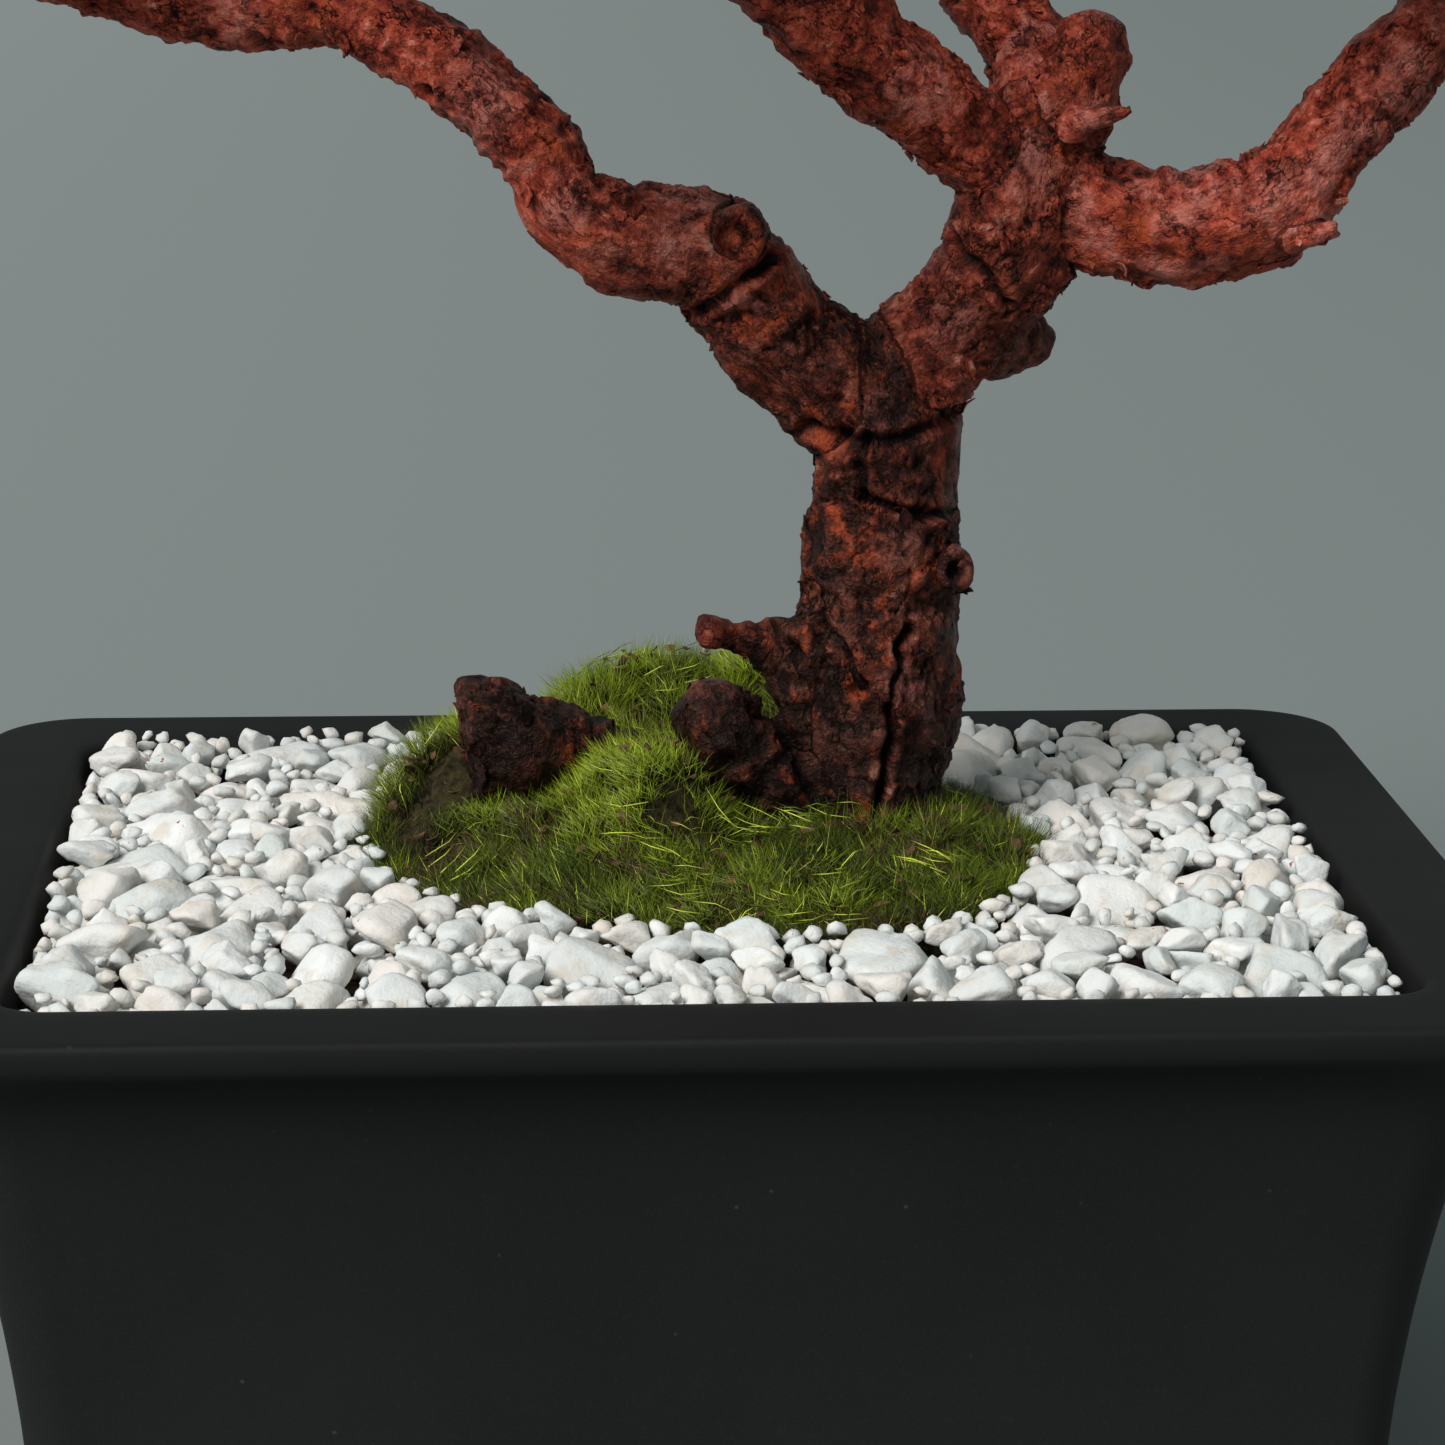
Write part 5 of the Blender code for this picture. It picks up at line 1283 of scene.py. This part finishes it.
spots = draw.uniform(low, high, (MOSS_SCRAPS * 2, 2))
spots = spots[moss_reach(*spots.T) < 0.95][:MOSS_SCRAPS]
places = np.column_stack([spots, moss_top_at(spots)])
places[:, 2] -= draw.uniform(0.5, 2.6, len(spots)) * MM
tilt = unit(draw.normal(0, 0.45, (len(spots), 3)) + (0, 0, 1))
sizes = draw.uniform(0.5, 1.0, len(spots)) ** 2 * SCRAP_LONG
scraps = plates(draw, places, tilt, sizes, FLAKE_THICK, (-0.3, 0.6), 0.5)
scraps = as_object("bark_scraps_in_moss", scraps)
finish, shader, place = new_finish("shed_scraps", Specular_IOR_Level=0.25, Roughness=0.85)
flecks = noise_in(finish, place, 400, 3)
colour = mixed(finish, spread(finish, flecks, 0.35, 0.65), *SCRAP_BROWNS)
wire(finish, colour, shader, "Base Color")
put(scraps, finish, "moss", "moss_cushion")

# Gravel. Washed chips of white chalky stone, four to ten millimetres long with smaller ones
# between, poured on the soil and levelled by hand up to the lip, a little higher at the back.
# Half lengths are given; some chips lie on the moss's edge.
STONE_GRID = 0.4 * MM
STONE_HALF = (2.6 * MM, 6.6 * MM)
STONE_FACES = 192000
SMALL_HALF = (0.9 * MM, 1.8 * MM)
STONE_WEAR = 18.0
STONE_DENTS = 0.14
BED_FRONT = 77.4 * MM
BED_BACK = 80.6 * MM
BED_DROPS = 1900
SMALL_DROPS = 1150
SMALL_DEEPER = 0.9 * MM
MOUTH_INSET = 14.2 * MM
PLACES_TRIED = 40
SMALL_PLACES_TRIED = 60
MOSS_EDGE_SHARE = 0.88
CHALK_TONES = (0.73, 0.75, 0.74), (0.89, 0.90, 0.89)
CHALK_WARM = (0.85, 0.78, 0.72)
CHALK_COOL = (0.70, 0.76, 0.75)
CHALK_VEIN = (0.70, 0.63, 0.54)
CHALK_RUST = (0.36, 0.13, 0.11)


def stone_shape(draw, half):
    """A chip of stone: planes at random round a squashed ball, with worn edges."""
    planes = draw.normal(size=(int(draw.integers(8, 13)), 3))
    planes /= np.linalg.norm(planes, axis=1)[:, None]
    depth = draw.uniform(0.56, 1.0, len(planes))
    press = np.maximum(BALL @ planes.T, 0) / depth
    reach = 1 / ((press**STONE_WEAR).sum(1) ** (1 / STONE_WEAR) + 1e-9)
    dents = rolling(BALL + draw.uniform(-50, 50, 3), 0.8, 5)
    dents = dents + 0.4 * rolling(BALL + draw.uniform(-50, 50, 3), 0.35, 6)
    points = BALL * (np.minimum(reach, 1.25) * (1 + STONE_DENTS * dents))[:, None]
    squash = (1.0, draw.uniform(0.68, 0.98), draw.uniform(0.55, 0.88))
    points *= np.array(squash) * half
    tip = draw.normal(0, 0.28, 2)
    turn = Matrix.Rotation(draw.uniform(0, math.tau), 3, "Z")
    turn = turn @ Matrix.Rotation(tip[0], 3, "X") @ Matrix.Rotation(tip[1], 3, "Y")
    return points @ np.array(turn).T


def stone_maps(points):
    """A stone's lowest and highest surface over the cells of a small square grid."""
    reach = int(np.ceil(np.abs(points[:, :2]).max() / STONE_GRID)) + 1
    size = 2 * reach + 1
    cell = np.floor(points[:, :2] / STONE_GRID + 0.5).astype(int) + reach
    flat = cell[:, 0] * size + cell[:, 1]
    under = np.full(size * size, np.inf)
    over = np.full(size * size, -np.inf)
    np.minimum.at(under, flat, points[:, 2])
    np.maximum.at(over, flat, points[:, 2])
    return under.reshape(size, size), over.reshape(size, size), reach


def worn_chalk():
    """Chalky white stone, each chip its own tone, powdery in its pits, with rare rusty flecks."""
    finish, shader, place = new_finish("worn_white_chippings", Specular_IOR_Level=0.25, Roughness=0.88)
    tone = kept_value(finish, "tone")
    warm = kept_value(finish, "warm")
    veins = noise_in(finish, place, 230, 5, 0.6)
    colour = mixed(finish, tone, *CHALK_TONES)
    colour = mixed(finish, spread(finish, warm, 0.6, 1.0, 0, 0.7), colour, CHALK_WARM)
    colour = mixed(finish, spread(finish, warm, 0.4, 0.0, 0, 0.5), colour, CHALK_COOL)
    colour = mixed(finish, spread(finish, veins, 0.50, 0.66, 0, 0.7), colour, CHALK_VEIN)
    flecks = spread(finish, noise_in(finish, place, 1100, 2), 0.66, 0.70)
    flecked = spread(finish, noise_in(finish, place, 75, 1), 0.60, 0.66)
    colour = mixed(finish, product(finish, flecks, flecked), colour, CHALK_RUST)
    wire(finish, colour, shader, "Base Color")
    pits = noise_in(finish, place, 1500, 5, 0.7)
    normal = bump(finish, shader, veins, 0.7 * MM, 0.8)
    bump(finish, shader, pits, 0.16 * MM, 0.8, normal)
    return finish


def round_ball(subdivisions):
    """The points and the faces of a round ball."""
    ball = bmesh.new()
    bmesh.ops.create_icosphere(ball, subdivisions=subdivisions, radius=1.0)
    points = np.array([vert.co for vert in ball.verts])
    faces = np.array([[vert.index for vert in face.verts] for face in ball.faces])
    ball.free()
    return points, faces


def pour(draw, count, sizes, tries, deeper):
    """Drop stones one by one, each where it comes to lie lowest of the places tried."""
    poured = []
    for _ in range(count):
        half = sizes[0] + (sizes[1] - sizes[0]) * draw.uniform() ** 1.15
        shape = stone_shape(draw, half)
        under, over, reach = stone_maps(shape)
        best = None
        for i, j in open_cells[draw.integers(0, len(open_cells), tries)]:
            if min(i, j) < reach or i + reach >= across_cells or j + reach >= deep_cells:
                continue
            patch = heap[i - reach : i + reach + 1, j - reach : j + reach + 1]
            rest = (patch - under).max()
            excess = rest + shape[:, 2].max() * 0.8 - target[i, j] + deeper
            if excess < 0.9 * MM and (best is None or excess < best[0]):
                best = (excess, rest, i, j)
        if best is None:
            continue
        _, rest, i, j = best
        around = (slice(i - reach, i + reach + 1), slice(j - reach, j + reach + 1))
        shown = rest + over > heap[around]
        owner[around][shown] = len(poured) + 1
        heap[around][shown] = (rest + over)[shown]
        poured.append(shape + (cell_x[i, 0], cell_y[0, j], rest))
    return poured


def chippings(name, draw, stones, points_used, faces, most):
    """One piece from the stones that show, thinned to at most a number of faces."""
    count = len(points_used)
    joined = np.concatenate([faces + count * i for i in range(len(stones))])
    mesh = bpy.data.meshes.new(name)
    mesh.from_pydata(np.concatenate([stone[points_used] for stone in stones]), [], joined)
    add_values(mesh, tone=np.repeat(draw.uniform(0.0, 1, len(stones)), count))
    add_values(mesh, warm=np.repeat(draw.uniform(0, 1, len(stones)), count))
    gravel = as_object(name, mesh)
    if len(joined) > most:
        fewer = gravel.modifiers.new("Fewer faces", "DECIMATE")
        fewer.ratio = most / len(joined)
        settle(gravel)
    gravel.data.shade_smooth()
    put(gravel, chalk, "white_gravel", "gravel_bed")


BALL, BALL_FACES = round_ball(4)
SMALL_BALL, SMALL_BALL_FACES = round_ball(2)
on_ball = nearest_in(BALL)
SMALL_POINTS = [on_ball.find(point)[1] for point in SMALL_BALL]
draw = np.random.default_rng(11)
across_cells = int(2 * LIP_HALF_X / STONE_GRID)
deep_cells = int(2 * LIP_HALF_Y / STONE_GRID)
cell_x = (np.arange(across_cells) + 0.5) * STONE_GRID - LIP_HALF_X
cell_y = (np.arange(deep_cells) + 0.5) * STONE_GRID - LIP_HALF_Y
cell_x, cell_y = np.meshgrid(cell_x, cell_y, indexing="ij")
share = moss_reach(cell_x, cell_y)
moss_top = moss_level(cell_x, cell_y, np.minimum(share, 1)) - 2.6 * MM
heap = np.where(share < 1, np.maximum(moss_top, SOIL_TOP), SOIL_TOP + 0.1 * MM)
mouth_corner = LIP_CORNER - CORNER_SHARE * MOUTH_INSET
over_x = np.maximum(np.abs(cell_x) - (LIP_HALF_X - MOUTH_INSET - mouth_corner), 0)
over_y = np.maximum(np.abs(cell_y) - (LIP_HALF_Y - MOUTH_INSET - mouth_corner), 0)
heap[(np.hypot(over_x, over_y) > mouth_corner) | (share < MOSS_EDGE_SHARE)] = np.inf
target = BED_FRONT + (BED_BACK - BED_FRONT) * (cell_y + LIP_HALF_Y) / (2 * LIP_HALF_Y)
open_cells = np.argwhere(np.isfinite(heap))
owner = np.zeros(heap.shape, int)
chalk = worn_chalk()
stones = pour(draw, BED_DROPS, STONE_HALF, PLACES_TRIED, 0)
shows = np.bincount(owner.ravel(), minlength=len(stones) + 1)[1:] > 2
stones = [stone for stone, shown in zip(stones, shows) if shown]
chippings("white_chippings", draw, stones, np.arange(len(BALL)), BALL_FACES, STONE_FACES)
owner[:] = 0
stones = pour(draw, SMALL_DROPS, SMALL_HALF, SMALL_PLACES_TRIED, SMALL_DEEPER)
chippings("small_chippings", draw, stones, SMALL_POINTS, SMALL_BALL_FACES, STONE_FACES)

# Crown. Each limb ends in a forked twig whose shoots carry a pale bud and a tuft of stiff
# paired needles; the shoots spread over a low dome, kept clear of the neighbouring ones.
# Each pad is its limb, then (x, y, z) of its middle, reach of its shoots, and their number.
PADS_MM = {
    "spray_left_end": ("left_limb", (-106, -4, 206), 18, 6),
    "spray_left_inner": ("left_riser", (-59, 15, 213), 15, 5),
    "spray_front_left": ("front_limb", (-27, -29, 220), 18, 6),
    "spray_back": ("back_riser", (34, 50, 218), 17, 6),
    "spray_front_right": ("right_front_riser", (62, -29, 220), 16, 5),
    "spray_right_end": ("right_reach", (117, -3, 206), 18, 6),
    "spray_right_inner": ("right_riser", (78, 24, 224), 15, 5),
    "spray_upper_left": ("front_riser", (-19, 15, 249), 17, 6),
    "spray_upper_right": ("upper_riser", (55, -6, 250), 17, 6),
    "spray_apex": ("leader", (17.5, 1, 277), 16, 7),
}
PAD_DOME = 7 * MM
BUD_CLEAR = 4 * MM
PAD_CLEAR = 0.6 * MM
NEEDLE_LENGTH = (18.5 * MM, 22.9 * MM)
NEEDLE_WIDTH = (0.75 * MM, 1.0 * MM)
TUFT_NEEDLES = 96
SIDE_TUFT_NEEDLES = 60
SIDE_TUFTS = 2
TUFT_HALF_LENGTH = 4.2 * MM
BUD_HALF_WIDTH = 1.15 * MM
BUD_HALF_LENGTH = 3.1 * MM
HUB_RADIUS = 1.7 * MM
SHOOT_RADII = (1.4 * MM, 1.15 * MM, 0.9 * MM)
SIDE_SHOOT_RADII = (0.95 * MM, 0.85 * MM, 0.75 * MM)
NEEDLE_GREENS = (0.014, 0.050, 0.010), (0.060, 0.140, 0.024)
NEEDLE_FOOT = (0.110, 0.130, 0.030)
NEEDLE_TIP = (0.150, 0.140, 0.045)
TWIG_BROWNS = (0.055, 0.028, 0.018), (0.160, 0.085, 0.050)
BUD_SCALES = (0.330, 0.240, 0.160), (0.560, 0.500, 0.400)


def held_back(points, walls, clear):
    """Points moved back behind each wall, where they are beyond one."""
    for place, normal in walls:
        over = np.maximum((points - place) @ normal + clear, 0)
        points = points - over[:, None] * normal
    return points


def twig(line, radii):
    """A slim twig through a few points."""
    line = np.column_stack([np.array(line) / MM, np.array(radii) / MM])
    return limb_tube(limb_route(line, 5), 10)


def gather(meshes):
    """One bmesh from several, each used up."""
    whole = bmesh.new()
    for mesh in meshes:
        piece = bpy.data.meshes.new("piece")
        mesh.to_mesh(piece)
        mesh.free()
        whole.from_mesh(piece)
        bpy.data.meshes.remove(piece)
    bmesh.ops.recalc_face_normals(whole, faces=whole.faces)
    return whole


def bud(place, aim):
    """A pale pointed winter bud."""
    mesh = bmesh.new()
    bmesh.ops.create_icosphere(mesh, subdivisions=2, radius=1.0)
    turn = Vector(aim).to_track_quat("Z", "Y").to_matrix()
    for vert in mesh.verts:
        taper = 1 - 0.45 * max(0, vert.co.z)
        size = Vector((BUD_HALF_WIDTH * taper, BUD_HALF_WIDTH * taper, BUD_HALF_LENGTH))
        vert.co = Vector(place) + turn @ Vector(a * b for a, b in zip(vert.co, size))
    return mesh


def needle_green():
    """Deep waxy green, each needle its own tone, yellower at its foot and tip."""
    finish, shader, _ = new_finish("black_pine_needles", Specular_IOR_Level=0.5, Roughness=0.38)
    tint = kept_value(finish, "tint")
    rise = kept_value(finish, "rise")
    colour = mixed(finish, tint, *NEEDLE_GREENS)
    colour = mixed(finish, spread(finish, rise, 0.25, 0.0, 0, 0.6), colour, NEEDLE_FOOT)
    colour = mixed(finish, spread(finish, rise, 0.93, 1.0, 0, 0.5), colour, NEEDLE_TIP)
    wire(finish, colour, shader, "Base Color")
    return finish


def twig_bark():
    """Young scaly bark, with the paper-pale scales of the buds."""
    finish, shader, place = new_finish("young_twig_bark", Specular_IOR_Level=0.3, Roughness=0.7)
    pale = kept_value(finish, "pale")
    scaling = noise_in(finish, place, 800, 3)
    brown = mixed(finish, spread(finish, scaling, 0.35, 0.65), *TWIG_BROWNS)
    papery = mixed(finish, spread(finish, scaling, 0.4, 0.6), *BUD_SCALES)
    wire(finish, mixed(finish, pale, brown, papery), shader, "Base Color")
    bump(finish, shader, scaling, 0.4 * MM)
    return finish


needles_finish = needle_green()
twig_finish = twig_bark()
draw = np.random.default_rng(29)
pad_middles = {name: np.array(pad[1]) * MM for name, pad in PADS_MM.items()}
for name, (limb_name, middle, reach, count) in PADS_MM.items():
    middle = np.array(middle) * MM
    walls = []
    for other, place in pad_middles.items():
        if other != name:
            away = place - middle
            walls.append((middle + away / 2, away / np.linalg.norm(away)))
    end, radii, along, _, _ = limb_routes[limb_names.index(limb_name)]
    end, limb_radius, along = end[-1], radii[-1], along[-1]
    hub = middle - (0, 0, PAD_DOME / 2)
    foot = end - along * 2 * MM
    join_radii = (0.92 * limb_radius, 0.85 * limb_radius, HUB_RADIUS)
    parts = [twig([foot, end + along * 3 * MM, hub], join_radii)]
    tufts = []
    for k in range(count):
        share = 0.0 if k == 0 else 1 - 0.22 * (k % 2)
        angle = math.tau * k / (count - 1) + middle[0] / MM
        flat = np.array((math.cos(angle), math.sin(angle), 0)) * share
        place = middle + flat * reach * MM + (0, 0, PAD_DOME * (1 - share))
        aim = flat + (0, 0, 1.15 + share * (0.55 - 1.15))
        aim /= np.linalg.norm(aim)
        place = held_back(place[None], walls, BUD_CLEAR)[0]
        bow = (hub + place) / 2 + (0, 0, -0.9 * MM)
        parts.append(twig([hub, bow, place + aim * 2 * MM], SHOOT_RADII))
        tufts.append((place, aim, TUFT_NEEDLES))
        for side in range(SIDE_TUFTS):
            turn = Matrix.Rotation((side - 0.5) * 2.4 + draw.normal(0, 0.3), 3, "Z")
            out = np.array(turn @ Vector(aim if share else (1, 0, 0.6)))
            base = hub + (place - hub) * draw.uniform(0.45, 0.65)
            tip = base + out / np.linalg.norm(out) * draw.uniform(6, 8.5) * MM
            tip = held_back(tip[None], walls, BUD_CLEAR)[0]
            parts.append(twig([base, (base + tip) / 2, tip], SIDE_SHOOT_RADII))
            tufts.append((tip, out / np.linalg.norm(out), SIDE_TUFT_NEEDLES))
    bark_count = sum(len(part.verts) for part in parts)
    parts += [bud(place + aim * 4.4 * MM, aim) for place, aim, _ in tufts]
    twigs = as_object("twigs_of_" + name, gather(parts))
    add_values(twigs.data, pale=np.arange(len(twigs.data.vertices)) >= bark_count)
    twigs.data.transform(PLANTED)
    twigs.data.shade_smooth()
    put(twigs, twig_finish, "pine_bark", name)

    roots, tips, bends, tints = [], [], [], []
    for place, aim, many in tufts:
        pairs = many // 2
        turn = draw.uniform(0, math.tau, pairs)
        open_angle = np.arccos(draw.uniform(-0.05, 0.95, pairs))
        side = np.cross(aim, (0.3, 0.4, 0.86))
        side /= np.linalg.norm(side)
        across = np.cross(aim, side)
        around = np.cos(turn)[:, None] * side + np.sin(turn)[:, None] * across
        root = place + aim * (draw.uniform(-1, 0.9, pairs) * TUFT_HALF_LENGTH)[:, None]
        root = root + around * 0.7 * MM
        way = aim * np.cos(open_angle)[:, None] + around * np.sin(open_angle)[:, None]
        way[:, 2] += 0.12
        for half in (-1, 1):
            apart = np.cross(way, around) * half * 0.07
            aims = unit(way + apart + draw.normal(0, 0.03, (pairs, 3)))
            aims[:, 2] = np.maximum(aims[:, 2], -0.2)
            length = draw.uniform(*NEEDLE_LENGTH, pairs)
            tip = held_back(root + aims * length[:, None], walls, PAD_CLEAR)
            roots.append(root)
            tips.append(tip)
            bends.append(around * (0.05 * length)[:, None])
            tints.append(draw.uniform(0, 1, pairs))
    roots, tips = np.concatenate(roots), np.concatenate(tips)
    bends, tints = np.concatenate(bends), np.concatenate(tints)
    free = np.ones(len(roots), bool)
    for t in (0.35, 0.6, 0.8, 1.0):
        straight, radius, _ = straightened(roots + (tips - roots) * t, limb_routes)
        free &= np.hypot(straight[:, 0], straight[:, 1]) > radius * 1.2 + 0.6 * MM
    roots, tips, bends, tints = roots[free], tips[free], bends[free], tints[free]
    grown = blades(roots, tips, bends, draw.uniform(*NEEDLE_WIDTH, len(roots)))
    grown = as_object("needles_of_" + name, grown)
    tint = np.repeat(tints, len(BLADE_RISE))
    add_values(grown.data, tint=tint, rise=np.tile(BLADE_RISE, len(roots)))
    grown.data.transform(PLANTED)
    grown.data.shade_smooth()
    put(grown, needles_finish, "pine_needles", name)

# Studio. A pale floor that runs back under soft light from the left, painted darker to the right
# as a painted fall-off of that light, and the camera that took the photograph, found from the pot's
# rim and corners.
FLOOR_COLOUR = (0.264, 0.296, 0.293)
FLOOR_PAINTED_FALLOFF = (0.202, 0.229, 0.227)
WINDOW_WAY = (-0.62, -0.62, 0.8)
WINDOW_POWER = 2.9
WINDOW_SOFTNESS = math.radians(32)
ROOM_LIGHT = (0.232, 0.262, 0.262)
CAMERA_PLACE = (-26.72 * MM, -483.96 * MM, 217.73 * MM)
CAMERA_YAW = math.radians(3.585)
CAMERA_PITCH = math.radians(14.224)
CAMERA_ROLL = math.radians(0.417)
SENSOR_WIDTH = 36
CAMERA_LENS = SENSOR_WIDTH * 4000 / 1445
WINDOW_WHITE = (1.0, 0.985, 0.96)

ground = bmesh.new()
bmesh.ops.create_grid(ground, x_segments=1, y_segments=1, size=6.0)
floor = as_object("floor", ground)
floor.location.z = -0.4 * MM
finish, shader, place = new_finish("pale_floor", Roughness=0.9, Specular_IOR_Level=0.2)
across_floor = node(finish, "SeparateXYZ", {"Vector": place}).outputs["X"]
# Painted light fall-off: the floor is painted darker towards the right, away from the light.
shade = mixed(finish, spread(finish, across_floor, -0.35, 0.5), FLOOR_COLOUR, FLOOR_PAINTED_FALLOFF)
wire(finish, shade, shader, "Base Color")
floor.data.materials.append(finish)
floor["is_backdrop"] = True

window = bpy.data.objects.new("window", bpy.data.lights.new("window", "SUN"))
window.data.energy = WINDOW_POWER
window.data.angle = WINDOW_SOFTNESS
window.data.color = WINDOW_WHITE
window.rotation_euler = Vector(WINDOW_WAY).to_track_quat("Z", "Y").to_euler()
bpy.context.scene.collection.objects.link(window)
world = bpy.data.worlds.new("soft_room")
world.use_nodes = True
sky = world.node_tree.nodes["Background"].inputs
sky["Color"].default_value = (*ROOM_LIGHT, 1.0)
sky["Strength"].default_value = 1.0
bpy.context.scene.world = world
bpy.context.scene.view_settings.view_transform = "Standard"

level = math.cos(CAMERA_PITCH)
ahead = Vector((math.sin(CAMERA_YAW) * level, math.cos(CAMERA_YAW) * level, -math.sin(CAMERA_PITCH)))
across = Vector((math.cos(CAMERA_YAW), -math.sin(CAMERA_YAW), 0))
upward = across.cross(ahead)
turned_across = math.cos(CAMERA_ROLL) * across + math.sin(CAMERA_ROLL) * upward
turned_upward = math.cos(CAMERA_ROLL) * upward - math.sin(CAMERA_ROLL) * across
camera = bpy.data.objects.new("camera", bpy.data.cameras.new("camera"))
camera.data.lens = CAMERA_LENS
camera.data.sensor_width = SENSOR_WIDTH
camera.data.clip_start = 0.01
turn = Matrix((turned_across, turned_upward, -ahead)).transposed().to_4x4()
camera.matrix_world = Matrix.Translation(CAMERA_PLACE) @ turn
bpy.context.scene.collection.objects.link(camera)
bpy.context.scene.camera = camera

low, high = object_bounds()
